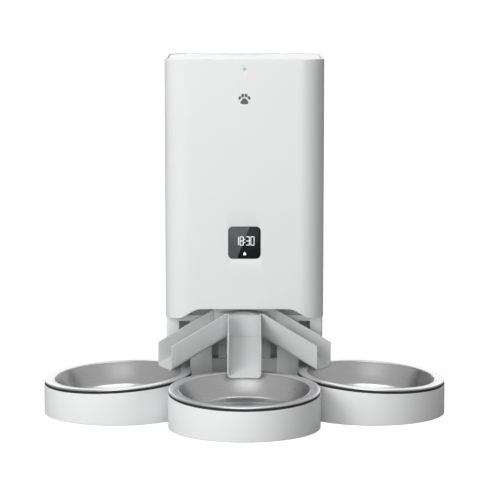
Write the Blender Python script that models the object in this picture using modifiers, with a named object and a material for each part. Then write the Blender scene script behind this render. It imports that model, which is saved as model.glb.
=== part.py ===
"""Automatic pet feeder: a tall hopper unit that fills three steel bowls through three chutes.

Metres, +Z up, -Y is the front. Every piece is placed from the floor point under the centre of the
tall body, and an empty then brings the middle of the whole footprint, bowls included, to the origin.
"""

from math import cos, pi, radians, sin, tan

import bmesh
import bpy
from mathutils import Matrix, Vector

MM = 0.001

# Tall body
BODY_WIDTH = 182.6 * MM
BODY_DEPTH = 175.0 * MM
BODY_HEIGHT = 393.0 * MM
CORNER_RADIUS = 28.0 * MM
SHELL_WALL = 2.4 * MM
SHELL_BOTTOM = 96.2 * MM
ARCH_TOP = 107.5 * MM
ARCH_FLAT_HALF = 50.0 * MM
ARCH_FOOT_HALF = 79.0 * MM
SEAM_Y = 20.0 * MM
GAP = 0.3 * MM

# Base under the body
BASE_INSET = 0.6 * MM
BASE_SETBACK = 32.0 * MM
BASE_CORNER_RADIUS = 3.0 * MM
BASE_WALL = 2.6 * MM
FOOT_HEIGHT = 2.7 * MM
BASE_PLATE_BOTTOM = 3.0 * MM
BASE_PLATE_THICKNESS = 2.4 * MM
PILLAR_INNER = 37.8 * MM
PILLAR_OUTER = 63.0 * MM
LEG_INNER = 76.0 * MM
SILL_TOP = 44.3 * MM
RECESS_TOP = 89.0 * MM
RECESS_DEPTH = 26.0 * MM
COLUMN_HALF = 30.0 * MM
COLUMN_SETBACK = 5.5 * MM
SILL_SETBACK = 2.2 * MM
FRAME_FLOOR_Z = 110.0 * MM
FRAME_FLOOR_THICKNESS = 3.0 * MM

# Chutes
CHUTE_WIDTH = 38.1 * MM
CHUTE_HEIGHT = 28.5 * MM
CHUTE_WALL = 2.0 * MM
CHUTE_CORNER = 5.0 * MM
FRONT_CHUTE_RUN = 74.4 * MM
SIDE_CHUTE_RUN = 70.0 * MM
CHUTE_DROP = 33.3 * MM
SIDE_CHUTE_HEADING = radians(26.0)
CHUTE_MOUTH_AHEAD = 12.5 * MM
CHUTE_MOUTH_TOP = 104.7 * MM

# Bowls and their holders
BOWL_RADIUS = 83.3 * MM
BOWL_GAP = 0.4 * MM
FRONT_BOWL_CLEARANCE = 63.7 * MM
SIDE_BOWL_ANGLE = radians(31.86)
RIM_REST_Z = 40.2 * MM
RIM_TILT = radians(3.55)
RIM_STEP = 1.6 * MM
HOLDER_BOTTOM = 0.5 * MM
HOLDER_WALL = 3.0 * MM
HOLDER_FLOOR_Z = 5.5 * MM
HOLDER_FLOOR_THICKNESS = 2.0 * MM
DISH_DEPTH = 29.0 * MM
STEEL = 1.0 * MM
FLANGE_WIDTH = 9.6 * MM
BEAD_RADIUS = 1.3 * MM
RIM_INSET = 0.4 * MM
ARM_WIDTH = 28.0 * MM
ARM_BOTTOM = 0.7 * MM
ARM_THICKNESS = 2.0 * MM
ARM_GRIP = 28.0 * MM
ARM_CLEARANCE = 0.7 * MM

# Food path
HOPPER_WALL = 2.2 * MM
HOPPER_CLEARANCE = 3.0 * MM
HOPPER_SHOULDER_Z = 262.0 * MM
DISPENSER_RADIUS = 55.0 * MM
DISPENSER_FLOOR_Z = 150.0 * MM
DISPENSER_FLOOR_THICKNESS = 2.5 * MM
DISPENSER_TOP = 196.5 * MM
DISPENSER_WALL = 2.2 * MM
THROAT_RADIUS = 46.0 * MM
ROTOR_CLEARANCE = 1.3 * MM
ROTOR_HUB_RADIUS = 9.0 * MM
VANE_THICKNESS = 2.4 * MM
VANE_COUNT = 6
SHAFT_RADIUS = 3.0 * MM
SHAFT_DEPTH = 10.0 * MM
VANE_TURN = radians(7.5)
GEARBOX_RADIUS = 18.0 * MM
GEARBOX_HEIGHT = 19.0 * MM
MOTOR_RADIUS = 13.5 * MM
OUTLET_HALF_WIDTH = 22.0 * MM
OUTLET_FRONT = -50.0 * MM
OUTLET_BACK = -24.0 * MM
DUCT_WALL = 2.0 * MM
DUCT_DROP_Y = -74.0 * MM
DUCT_DROP_DEPTH = 21.0 * MM
DUCT_DROP_HALF_WIDTH = 20.0 * MM

# Lid
LID_GAP = 0.6 * MM
LID_DROP = 1.0 * MM
LID_THICKNESS = 4.0 * MM
LID_SKIRT_DEPTH = 10.0 * MM
LID_SKIRT_WALL = 2.2 * MM
SEAL_ROOM = 1.8 * MM
FINGER_DISH_DEPTH = 2.2 * MM
DISH_LOW_RADIUS = 24.0 * MM
DISH_TOP_RADIUS = 29.0 * MM
LATCH_WIDTH = 24.0 * MM
LATCH_DEPTH = 11.0 * MM
LATCH_TRAVEL = 2.5 * MM
DESICCANT_RADIUS = 36.0 * MM
DESICCANT_DEPTH = 22.0 * MM
DESICCANT_WALL = 1.8 * MM

# Front panel
DISPLAY_SIZE = 36.6 * MM
DISPLAY_CENTRE_Z = 184.3 * MM
DISPLAY_CORNER = 5.0 * MM
WINDOW_THICKNESS = 2.2 * MM
LED_DROP = 11.0 * MM
LED_RADIUS = 1.5 * MM

# Power
CELL_RADIUS = 16.6 * MM
CELL_LENGTH = 60.5 * MM
CELL_PITCH = 34.4 * MM
CELL_COUNT = 3
BATTERY_CENTRE_Y = 26.0 * MM
BOX_WALL = 2.0 * MM
BOARD_HALF = 45.0 * MM
BOARD_THICKNESS = 1.6 * MM
SOCKET_RADIUS = 5.4 * MM
SOCKET_X = 55.0 * MM
SOCKET_Z = 28.0 * MM

# Fasteners and feet
FOOT_RADIUS = 8.0 * MM
SCREW_RADIUS = 1.4 * MM
SCREW_LENGTH = 12.0 * MM
SCREW_HEAD_RADIUS = 3.0 * MM
SCREW_HEAD_HEIGHT = 1.8 * MM

# Places that follow from the sizes
HALF_WIDTH = BODY_WIDTH / 2
FRONT_Y = -BODY_DEPTH / 2
BACK_Y = BODY_DEPTH / 2
BASE_HALF = HALF_WIDTH - BASE_INSET
BASE_FRONT = FRONT_Y + BASE_SETBACK
BASE_BACK = BACK_Y - BASE_INSET
BASE_FLOOR = BASE_PLATE_BOTTOM + BASE_PLATE_THICKNESS + GAP
BASE_TOP = SHELL_BOTTOM - 2 * GAP
LID_TOP = BODY_HEIGHT - LID_DROP
LED_Z = BODY_HEIGHT - LED_DROP
LID_BOTTOM = LID_TOP - LID_THICKNESS
HOPPER_TOP = LID_BOTTOM - GAP
FRAME_TOP = FRAME_FLOOR_Z + FRAME_FLOOR_THICKNESS
MOUTH_Y = FRONT_Y - CHUTE_MOUTH_AHEAD
FRONT_BOWL = Vector((0, FRONT_Y - FRONT_BOWL_CLEARANCE - BOWL_RADIUS, 0))
SIDE_STEP = 2 * BOWL_RADIUS + BOWL_GAP
SIDE_BOWL = FRONT_BOWL + SIDE_STEP * Vector((cos(SIDE_BOWL_ANGLE), sin(SIDE_BOWL_ANGLE), 0))
SIDE_OUT = Vector((cos(SIDE_CHUTE_HEADING), -sin(SIDE_CHUTE_HEADING), 0))
ROUND_STEPS = 48
SMALL_STEPS = 20


# ---------------------------------------------------------------- scene and helpers

def clear_scene():
    for old in list(bpy.data.objects):
        bpy.data.objects.remove(old)


def add_collection(name):
    collection = bpy.data.collections.new(name)
    bpy.context.scene.collection.children.link(collection)
    return collection


def make_material(name, colour, roughness, metallic=0.0):
    material = bpy.data.materials.new(name)
    material.use_nodes = True
    shader = material.node_tree.nodes["Principled BSDF"]
    shader.inputs["Base Color"].default_value = (*colour, 1)
    shader.inputs["Roughness"].default_value = roughness
    shader.inputs["Metallic"].default_value = metallic
    return material


clear_scene()
FEEDER = add_collection("automatic_pet_feeder")
CUTTERS = add_collection("cutters")
WHITE = make_material("white_plastic", (0.86, 0.86, 0.86), 0.35)
INNER_WHITE = make_material("inner_plastic", (0.74, 0.75, 0.76), 0.5)
CLEAR_GREY = make_material("smoked_tank", (0.55, 0.57, 0.6), 0.2)
STEEL_FINISH = make_material("brushed_steel", (0.6, 0.6, 0.61), 0.3, 1.0)
DARK_GLASS = make_material("display_glass", (0.02, 0.02, 0.022), 0.08)
RUBBER = make_material("rubber", (0.05, 0.05, 0.05), 0.8)
SEAL_RUBBER = make_material("silicone", (0.7, 0.72, 0.74), 0.6)
BOARD_GREEN = make_material("circuit_board", (0.02, 0.14, 0.06), 0.45)
PLATED = make_material("plated_metal", (0.65, 0.65, 0.66), 0.35, 1.0)
LED_TEAL = make_material("led_lens", (0.1, 0.55, 0.5), 0.3)
CELL_WRAP = make_material("cell_wrap", (0.12, 0.3, 0.55), 0.35)


def add_object(name, mesh, material=None):
    """A part goes in the feeder's collection, and a piece with no material is a cutter."""
    item = bpy.data.objects.new(name, mesh)
    if material is None:
        CUTTERS.objects.link(item)
        item.hide_render = True
        item.display_type = "WIRE"
    else:
        FEEDER.objects.link(item)
        mesh.materials.append(material)
    return item


def boolean(item, operation, *others):
    for other in others:
        modifier = item.modifiers.new(operation.lower(), "BOOLEAN")
        modifier.operation = operation
        modifier.object = other
    return item


def smooth(mesh):
    mesh.shade_smooth()
    mesh.set_sharp_from_angle(angle=radians(35))


def block(name, low, high, material=None):
    """A box between two corners."""
    mesh = bpy.data.meshes.new(name)
    form = bmesh.new()
    bmesh.ops.create_cube(form, size=1)
    low, high = Vector(low), Vector(high)
    form.transform(Matrix.Translation((low + high) / 2) @ Matrix.Diagonal((*(high - low), 1)))
    form.to_mesh(mesh)
    form.free()
    return add_object(name, mesh, material)


def round_bar(name, radius, low_z, high_z, at=(0, 0), material=None, top_radius=None, steps=SMALL_STEPS):
    """An upright cylinder or cone."""
    mesh = bpy.data.meshes.new(name)
    form = bmesh.new()
    top = radius if top_radius is None else top_radius
    bmesh.ops.create_cone(
        form, cap_ends=True, segments=steps, radius1=radius, radius2=top, depth=high_z - low_z
    )
    form.transform(Matrix.Translation((*at, (low_z + high_z) / 2)))
    form.to_mesh(mesh)
    form.free()
    smooth(mesh)
    return add_object(name, mesh, material)


def turned(name, profile, at=(0, 0, 0), material=None, steps=ROUND_STEPS, closed=False):
    """A profile of (radius, height) points, turned round the upright axis at a place."""
    mesh = bpy.data.meshes.new(name)
    form = bmesh.new()
    points = [form.verts.new((radius, 0, height)) for radius, height in profile]
    ends = points[1:] + points[:1] if closed else points[1:]
    for start, end in zip(points, ends):
        form.edges.new((start, end))
    form.to_mesh(mesh)
    form.free()
    item = add_object(name, mesh, material)
    item.location = at
    screw = item.modifiers.new("turn", "SCREW")
    screw.steps = steps
    screw.render_steps = steps
    screw.use_merge_vertices = True
    screw.merge_threshold = 0.00001
    screw.use_smooth_shade = True
    return item


def arc(centre, radius, start, end, steps):
    return [
        (
            centre[0] + radius * cos(start + (end - start) * i / steps),
            centre[1] + radius * sin(start + (end - start) * i / steps),
        )
        for i in range(steps + 1)
    ]


def rounded_outline(low, high, radii, steps=6):
    """A rectangle whose corners, from front right round to front left, have their own radii."""
    front_right, back_right, back_left, front_left = radii
    (x0, y0), (x1, y1) = low, high
    return (
        arc((x1 - front_right, y0 + front_right), front_right, -pi / 2, 0, steps)
        + arc((x1 - back_right, y1 - back_right), back_right, 0, pi / 2, steps)
        + arc((x0 + back_left, y1 - back_left), back_left, pi / 2, pi, steps)
        + arc((x0 + front_left, y0 + front_left), front_left, pi, 3 * pi / 2, steps)
    )


def centred_outline(width, depth, radius, steps=6):
    return rounded_outline((-width / 2, -depth / 2), (width / 2, depth / 2), [radius] * 4, steps)


def plate(name, outlines, low_z, high_z, material=None):
    """Flat outlines, the second and later ones being holes, thickened between two heights."""
    curve = bpy.data.curves.new(name, "CURVE")
    curve.dimensions = "2D"
    curve.fill_mode = "BOTH"
    curve.extrude = (high_z - low_z) / 2
    for outline in outlines:
        spline = curve.splines.new("POLY")
        spline.points.add(len(outline) - 1)
        for point, (x, y) in zip(spline.points, outline):
            point.co = (x, y, 0, 1)
        spline.use_cyclic_u = True
    guide = bpy.data.objects.new(name + "_outline", curve)
    CUTTERS.objects.link(guide)
    graph = bpy.context.evaluated_depsgraph_get()
    mesh = bpy.data.meshes.new_from_object(guide.evaluated_get(graph))
    mesh.name = name
    bpy.data.objects.remove(guide)
    form = bmesh.new()
    form.from_mesh(mesh)
    bmesh.ops.remove_doubles(form, verts=form.verts, dist=0.000001)
    bmesh.ops.recalc_face_normals(form, faces=form.faces)
    form.transform(Matrix.Translation((0, 0, (low_z + high_z) / 2)))
    form.to_mesh(mesh)
    form.free()
    mesh.materials.clear()
    smooth(mesh)
    return add_object(name, mesh, material)


def loft(name, sections, material=None, hollow=False):
    """Equal rings of points joined one to the next. A hollow one also joins the last to the first."""
    mesh = bpy.data.meshes.new(name)
    form = bmesh.new()
    rings = [[form.verts.new(point) for point in section] for section in sections]
    nexts = rings[1:] + rings[:1] if hollow else rings[1:]
    for lower, upper in zip(rings, nexts):
        for i in range(len(lower)):
            j = (i + 1) % len(lower)
            form.faces.new((lower[i], lower[j], upper[j], upper[i]))
    if not hollow:
        form.faces.new(list(reversed(rings[0])))
        form.faces.new(rings[-1])
    form.to_mesh(mesh)
    form.free()
    smooth(mesh)
    return add_object(name, mesh, material)


def ring_at(outline, z, centre=(0, 0)):
    return [(x + centre[0], y + centre[1], z) for x, y in outline]


def on_pivot(name, place, *items):
    """An empty on a joint's axis, which carries the pieces that move about it."""
    empty = bpy.data.objects.new(name, None)
    FEEDER.objects.link(empty)
    empty.location = place
    for item in items:
        item.parent = empty
        item.location = item.location - Vector(place)


# ---------------------------------------------------------------- body

def body_wall_outline(front):
    """The plan of the front shell or of the back cover: three sides of the rounded body."""
    sign = -1 if front else 1
    end_y = SEAM_Y - GAP / 2 if front else SEAM_Y + GAP / 2
    edge_y = BODY_DEPTH / 2 - CORNER_RADIUS

    def side(inset):
        half = HALF_WIDTH - inset
        radius = CORNER_RADIUS - inset
        corner = arc((HALF_WIDTH - CORNER_RADIUS, edge_y), radius, 0, pi / 2, 7)
        right = [(half, sign * end_y)] + corner
        left = [(-x, y) for x, y in reversed(right)]
        return [(x, sign * y) for x, y in right + left]

    return side(0) + list(reversed(side(SHELL_WALL)))


def arch_cutter():
    """What the front shell's bottom edge leaves open: flat in the middle, an S-curve at each end."""
    steps = 10
    rise = ARCH_TOP - SHELL_BOTTOM
    right = []
    for i in range(steps + 1):
        share = i / steps
        x = ARCH_FOOT_HALF + (ARCH_FLAT_HALF - ARCH_FOOT_HALF) * share
        right.append((x, SHELL_BOTTOM + rise * (1 - cos(pi * share)) / 2))
    below = SHELL_BOTTOM - 5 * MM
    left = [(-x, z) for x, z in reversed(right)]
    outline = [(ARCH_FOOT_HALF, below)] + right + left + [(-ARCH_FOOT_HALF, below)]
    cutter = plate("arch_cutter", [outline], 0, 60 * MM)
    cutter.rotation_euler = (pi / 2, 0, 0)
    cutter.location = (0, FRONT_Y + 50 * MM, 0)
    return cutter


def make_front_shell():
    shell = plate("front_shell", [body_wall_outline(True)], SHELL_BOTTOM, BODY_HEIGHT, WHITE)
    opening = plate(
        "display_opening",
        [centred_outline(DISPLAY_SIZE + 2 * GAP, DISPLAY_SIZE + 2 * GAP, DISPLAY_CORNER + GAP, 4)],
        -5 * MM,
        5 * MM,
    )
    opening.rotation_euler = (pi / 2, 0, 0)
    opening.location = (0, FRONT_Y, DISPLAY_CENTRE_Z)
    led_hole = round_bar("led_hole", LED_RADIUS + GAP, -5 * MM, 5 * MM, steps=12)
    led_hole.rotation_euler = (pi / 2, 0, 0)
    led_hole.location = (0, FRONT_Y, LED_Z)
    boolean(shell, "DIFFERENCE", arch_cutter(), opening, led_hole)


def make_back_cover():
    plate("back_cover", [body_wall_outline(False)], SHELL_BOTTOM, BODY_HEIGHT, WHITE)


def make_mid_frame():
    """The floor inside the shell, with the skirt that stands on the base."""
    half = HALF_WIDTH - SHELL_WALL - GAP
    depth_half = BODY_DEPTH / 2 - SHELL_WALL - GAP
    outline = centred_outline(2 * half, 2 * depth_half, CORNER_RADIUS - SHELL_WALL - GAP)
    frame = plate("mid_frame", [outline], FRAME_FLOOR_Z, FRAME_TOP, INNER_WHITE)
    radius = CORNER_RADIUS - SHELL_WALL - GAP
    skirt_radii = [BASE_CORNER_RADIUS, radius, radius, BASE_CORNER_RADIUS]
    front = BASE_FRONT + BASE_WALL
    outer = rounded_outline((-half, front), (half, depth_half), skirt_radii)
    inner_radii = [BASE_CORNER_RADIUS / 2, radius - BASE_WALL, radius - BASE_WALL, BASE_CORNER_RADIUS / 2]
    inner = rounded_outline(
        (-half + BASE_WALL, front + BASE_WALL), (half - BASE_WALL, depth_half - BASE_WALL), inner_radii
    )
    skirt = plate("frame_skirt", [outer, inner], BASE_TOP + GAP, FRAME_FLOOR_Z + 1 * MM)
    hole_half = DUCT_DROP_HALF_WIDTH - DUCT_WALL
    hole_depth = DUCT_DROP_DEPTH / 2 - DUCT_WALL
    hole = block(
        "drop_hole",
        (-hole_half, DUCT_DROP_Y - hole_depth, FRAME_FLOOR_Z - 5 * MM),
        (hole_half, DUCT_DROP_Y + hole_depth, FRAME_TOP + 5 * MM),
    )
    boolean(frame, "UNION", skirt)
    boolean(frame, "DIFFERENCE", hole)


# ---------------------------------------------------------------- base

def base_outline():
    rear = CORNER_RADIUS - BASE_INSET
    return rounded_outline(
        (-BASE_HALF, BASE_FRONT), (BASE_HALF, BASE_BACK), [
            BASE_CORNER_RADIUS, rear, rear, BASE_CORNER_RADIUS
        ]
    )


def screw_places():
    """One in each corner block of the base."""
    side = BASE_HALF - BASE_WALL - 5 * MM
    back = BASE_BACK - 34 * MM
    front = BASE_FRONT + RECESS_DEPTH + BASE_WALL + 5 * MM
    return [(-side, front), (side, front), (-side, back), (side, back)]


def make_base_housing():
    housing = plate("base_housing", [base_outline()], BASE_FLOOR, BASE_TOP, WHITE)
    below = BASE_FLOOR - 4 * MM
    ceiling = BASE_TOP - BASE_WALL
    recess_back = BASE_FRONT + RECESS_DEPTH
    rear = CORNER_RADIUS - BASE_INSET - BASE_WALL
    cavity = plate(
        "base_cavity",
        [
            rounded_outline(
                (-BASE_HALF + BASE_WALL, recess_back + BASE_WALL),
                (BASE_HALF - BASE_WALL, BASE_BACK - BASE_WALL),
                [1 * MM, rear, rear, 1 * MM],
            )
        ],
        below,
        ceiling,
    )
    cuts = [cavity]
    front = BASE_FRONT - 1 * MM
    for side in (-1, 1):
        spans = (
            (
                "pillar",
                PILLAR_INNER + BASE_WALL,
                PILLAR_OUTER - BASE_WALL,
                BASE_FRONT + BASE_WALL,
                below,
                ceiling,
            ),
            ("leg", LEG_INNER + BASE_WALL, BASE_HALF - BASE_WALL, BASE_FRONT + BASE_WALL, below, ceiling),
            ("bay", PILLAR_OUTER, LEG_INNER, front, BASE_FLOOR + BASE_WALL, RECESS_TOP),
            ("column_side", COLUMN_HALF, PILLAR_INNER, front, SILL_TOP, RECESS_TOP),
        )
        for title, inner, outer, start_y, low_z, high_z in spans:
            end_y = recess_back if title in ("bay", "column_side") else recess_back + BASE_WALL / 2
            xs = sorted((side * inner, side * outer))
            name = f"{title}_{'left' if side < 0 else 'right'}"
            cuts.append(block(name, (xs[0], start_y, low_z), (xs[1], end_y, high_z)))
    cuts.append(
        block(
            "column_front",
            (-PILLAR_INNER, front, SILL_TOP),
            (PILLAR_INNER, BASE_FRONT + COLUMN_SETBACK, RECESS_TOP),
        )
    )
    cuts.append(
        block(
            "sill_front",
            (-PILLAR_INNER, front, below),
            (PILLAR_INNER, BASE_FRONT + SILL_SETBACK, RECESS_TOP),
        ),
    )
    sill_half = PILLAR_INNER - BASE_WALL
    cuts.append(
        block(
            "sill_inside",
            (-sill_half, BASE_FRONT + SILL_SETBACK + BASE_WALL, below),
            (sill_half, recess_back + BASE_WALL / 2, SILL_TOP - BASE_WALL),
        )
    )
    boolean(housing, "DIFFERENCE", *cuts)
    half_block = 5 * MM
    for index, (x, y) in enumerate(screw_places()):
        outer = BASE_HALF - BASE_WALL / 2
        xs = sorted((x - half_block if x > 0 else x + half_block, outer if x > 0 else -outer))
        post = block(
            f"post_{index}", (xs[0], y - half_block, BASE_FLOOR + 0.01 * MM), (
                xs[1], y + half_block, ceiling + 1 * MM
            )
        )
        boolean(housing, "UNION", post)
        pilot = round_bar(
            f"pilot_{index}", SCREW_RADIUS + GAP, below, BASE_FLOOR + SCREW_LENGTH, (x, y), steps=10
        )
        boolean(housing, "DIFFERENCE", pilot)
    socket_hole = round_bar("socket_hole", SOCKET_RADIUS + GAP, -8 * MM, 8 * MM, steps=SMALL_STEPS)
    socket_hole.rotation_euler = (pi / 2, 0, 0)
    socket_hole.location = (SOCKET_X, BASE_BACK, SOCKET_Z)
    boolean(housing, "DIFFERENCE", socket_hole)


def battery_opening():
    half_x = (CELL_COUNT * CELL_PITCH) / 2 + 1 * MM
    half_y = CELL_LENGTH / 2 + 2 * MM
    return (-half_x, BATTERY_CENTRE_Y - half_y), (half_x, BATTERY_CENTRE_Y + half_y)


def make_base_plate():
    low, high = battery_opening()
    opening = rounded_outline(low, high, [1 * MM] * 4, 2)
    base = plate("base_plate", [base_outline(), opening], BASE_PLATE_BOTTOM, BASE_FLOOR - GAP, INNER_WHITE)
    for index, (x, y) in enumerate(screw_places()):
        hole = round_bar(
            f"plate_hole_{index}", SCREW_RADIUS + GAP, 0, BASE_FLOOR + 2 * MM, (x, y), steps=10
        )
        boolean(base, "DIFFERENCE", hole)


def make_base_screws():
    """Pan-head screws from under the base plate into the corner blocks."""
    head_top = BASE_PLATE_BOTTOM - GAP / 2
    for index, (x, y) in enumerate(screw_places()):
        screw = round_bar(
            f"base_screw_{index + 1}",
            SCREW_HEAD_RADIUS * 0.75,
            head_top - SCREW_HEAD_HEIGHT,
            head_top,
            (x, y),
            PLATED,
            SCREW_HEAD_RADIUS,
            12,
        )
        shank_low = head_top - SCREW_HEAD_HEIGHT / 2
        shank_high = head_top + SCREW_LENGTH
        shank = round_bar(f"shank_{index}", SCREW_RADIUS, shank_low, shank_high, (x, y), steps=8)
        boolean(screw, "UNION", shank)


def make_feet():
    inset = 22 * MM
    front = BASE_FRONT + 12 * MM
    back = BASE_BACK - 18 * MM
    places = [(-1, front), (1, front), (-1, back), (1, back)]
    for index, (side, y) in enumerate(places):
        profile = [(0, FOOT_HEIGHT), (FOOT_RADIUS, FOOT_HEIGHT), (FOOT_RADIUS - 1 * MM, 0), (0, 0)]
        turned(f"foot_{index + 1}", profile, (side * (BASE_HALF - inset), y, 0), RUBBER, 16)


def make_bowl_bracket():
    """A flat three-armed plate under the base. Each bowl holder plugs onto one arm."""
    top = ARM_BOTTOM + ARM_THICKNESS
    half = ARM_WIDTH / 2
    reach = BOWL_RADIUS - ARM_GRIP
    bracket = block(
        "bowl_bracket",
        (-half, FRONT_BOWL.y + reach, ARM_BOTTOM),
        (half, BASE_FRONT + 30 * MM, top),
        INNER_WHITE,
    )
    centre = block(
        "bracket_centre", (-45 * MM, BASE_FRONT - 35 * MM, ARM_BOTTOM), (45 * MM, BASE_FRONT + 30 * MM, top)
    )
    boolean(bracket, "UNION", centre)
    for side in (-1, 1):
        arm = block(f"arm_{side}", (reach, -half, ARM_BOTTOM), (reach + 80 * MM, half, top))
        heading = SIDE_CHUTE_HEADING if side > 0 else -SIDE_CHUTE_HEADING
        arm.rotation_euler = (0, 0, (pi if side > 0 else 0) - heading)
        arm.location = (side * SIDE_BOWL.x, SIDE_BOWL.y, 0)
        boolean(bracket, "UNION", arm)


# ---------------------------------------------------------------- chutes

def chute_section():
    """The upright U of a chute, across its width: outer side, then inner side."""
    half = CHUTE_WIDTH / 2
    inner = half - CHUTE_WALL
    small = CHUTE_CORNER - CHUTE_WALL
    low = -CHUTE_HEIGHT
    outer = arc((-half + CHUTE_CORNER, low + CHUTE_CORNER), CHUTE_CORNER, pi, 3 * pi / 2, 4) + arc(
        (half - CHUTE_CORNER, low + CHUTE_CORNER), CHUTE_CORNER, -pi / 2, 0, 4
    )
    inside = arc((half - CHUTE_CORNER, low + CHUTE_CORNER), small, 0, -pi / 2, 4) + arc(
        (-half + CHUTE_CORNER, low + CHUTE_CORNER), small, -pi / 2, -pi, 4
    )
    return [(-half, 0)] + outer + [(half, 0), (inner, 0)] + inside + [(-inner, 0)]


def make_chute(name, mouth, heading, run):
    """A U-channel with upright ends that falls as it runs out along its own -Y."""
    section = chute_section()
    start = [(x, -GAP, z) for x, z in section]
    end = [(x, -run, z - CHUTE_DROP) for x, z in section]
    chute = loft(name, [start, end], WHITE)
    chute.location = (*mouth, CHUTE_MOUTH_TOP)
    chute.rotation_euler = (0, 0, heading)


def side_mouth():
    """The middle of a side chute's mouth: it starts from the front chute's corner."""
    corner = Vector((CHUTE_WIDTH / 2 + GAP, MOUTH_Y))
    across = Vector((sin(SIDE_CHUTE_HEADING), cos(SIDE_CHUTE_HEADING)))
    return corner + across * (CHUTE_WIDTH / 2)


def make_chutes():
    make_chute("front_chute", (0, MOUTH_Y), 0, FRONT_CHUTE_RUN)
    mouth = side_mouth()
    turn = pi / 2 - SIDE_CHUTE_HEADING
    make_chute("right_chute", (mouth.x, mouth.y), turn, SIDE_CHUTE_RUN)
    make_chute("left_chute", (-mouth.x, mouth.y), -turn, SIDE_CHUTE_RUN)


def make_splitter():
    """The stepped wedge that the kibble falls on. Its faces lead into the three mouths."""
    mouth = side_mouth()
    back = Vector((sin(SIDE_CHUTE_HEADING), cos(SIDE_CHUTE_HEADING))) * CHUTE_WIDTH / 2 + mouth
    front_half = CHUTE_WIDTH / 2 - GAP
    floor_z = CHUTE_MOUTH_TOP - CHUTE_HEIGHT
    hub = [
        (-front_half, MOUTH_Y + GAP),
        (front_half, MOUTH_Y + GAP),
        (back.x - GAP, back.y),
        (GAP - back.x, back.y),
    ]
    shoulder = [
        (-17 * MM, MOUTH_Y + 10 * MM), (17 * MM, MOUTH_Y + 10 * MM), (29 * MM, back.y), (-29 * MM, back.y)
    ]
    crown = [(-5 * MM, MOUTH_Y + 20 * MM), (5 * MM, MOUTH_Y + 20 * MM), (9 * MM, back.y), (-9 * MM, back.y)]
    sections = [
        ring_at(hub, floor_z - 2 * MM),
        ring_at(hub, floor_z + 1 * MM),
        ring_at(shoulder, CHUTE_MOUTH_TOP - 4 * MM),
        ring_at(crown, CHUTE_MOUTH_TOP - 1 * MM),
    ]
    splitter = loft("splitter", sections, WHITE)
    wall = block(
        "splitter_back",
        (GAP - back.x, back.y - 1 * MM, floor_z - 2 * MM),
        (back.x - GAP, back.y + 1.5 * MM, FRAME_FLOOR_Z - GAP),
    )
    boolean(splitter, "UNION", wall)


# ---------------------------------------------------------------- food tank and dispenser

def hopper_rings(inset):
    """The tank's inner or outer surface, from its round throat up to its rounded mouth."""
    width = BODY_WIDTH - 2 * (SHELL_WALL + HOPPER_CLEARANCE + inset)
    depth = BODY_DEPTH - 2 * (SHELL_WALL + HOPPER_CLEARANCE + inset)
    mouth = centred_outline(width, depth, CORNER_RADIUS - SHELL_WALL - HOPPER_CLEARANCE - inset, 5)
    turns = [-pi / 2 + 2 * pi * (i + 0.5) / len(mouth) for i in range(len(mouth))]
    throat = [((THROAT_RADIUS - inset) * cos(turn), (THROAT_RADIUS - inset) * sin(turn)) for turn in turns]
    low = DISPENSER_TOP + GAP
    return [
        ring_at(throat, low),
        ring_at(throat, low + 6 * MM),
        ring_at(mouth, HOPPER_SHOULDER_Z),
        ring_at(mouth, HOPPER_TOP),
    ]


def make_hopper():
    rings = hopper_rings(0) + list(reversed(hopper_rings(HOPPER_WALL)))
    loft("hopper", rings, CLEAR_GREY, hollow=True)


def make_dispenser_housing():
    """A cup for the rotor on a round pedestal. The outlet is cut in its floor, to the front."""
    inner = DISPENSER_RADIUS - DISPENSER_WALL
    floor_top = DISPENSER_FLOOR_Z + DISPENSER_FLOOR_THICKNESS
    shaft_hole = SHAFT_RADIUS + 2 * GAP
    profile = [
        (inner, DISPENSER_TOP),
        (DISPENSER_RADIUS, DISPENSER_TOP),
        (DISPENSER_RADIUS, FRAME_TOP + GAP),
        (inner, FRAME_TOP + GAP),
        (inner, DISPENSER_FLOOR_Z),
        (shaft_hole, DISPENSER_FLOOR_Z),
        (shaft_hole, floor_top),
        (inner, floor_top),
    ]
    housing = turned("dispenser_housing", profile, material=INNER_WHITE, steps=32, closed=True)
    outlet = block(
        "outlet_cut",
        (-OUTLET_HALF_WIDTH, OUTLET_FRONT, DISPENSER_FLOOR_Z - 5 * MM),
        (OUTLET_HALF_WIDTH, OUTLET_BACK, floor_top + 5 * MM),
    )
    half = OUTLET_HALF_WIDTH + DUCT_WALL + 2 * MM
    window = block(
        "duct_window",
        (-half, -DISPENSER_RADIUS - 5 * MM, FRAME_TOP - 5 * MM),
        (half, OUTLET_BACK + 6 * MM, DISPENSER_FLOOR_Z + 0.01 * MM),
    )
    boolean(housing, "DIFFERENCE", outlet, window)


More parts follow.
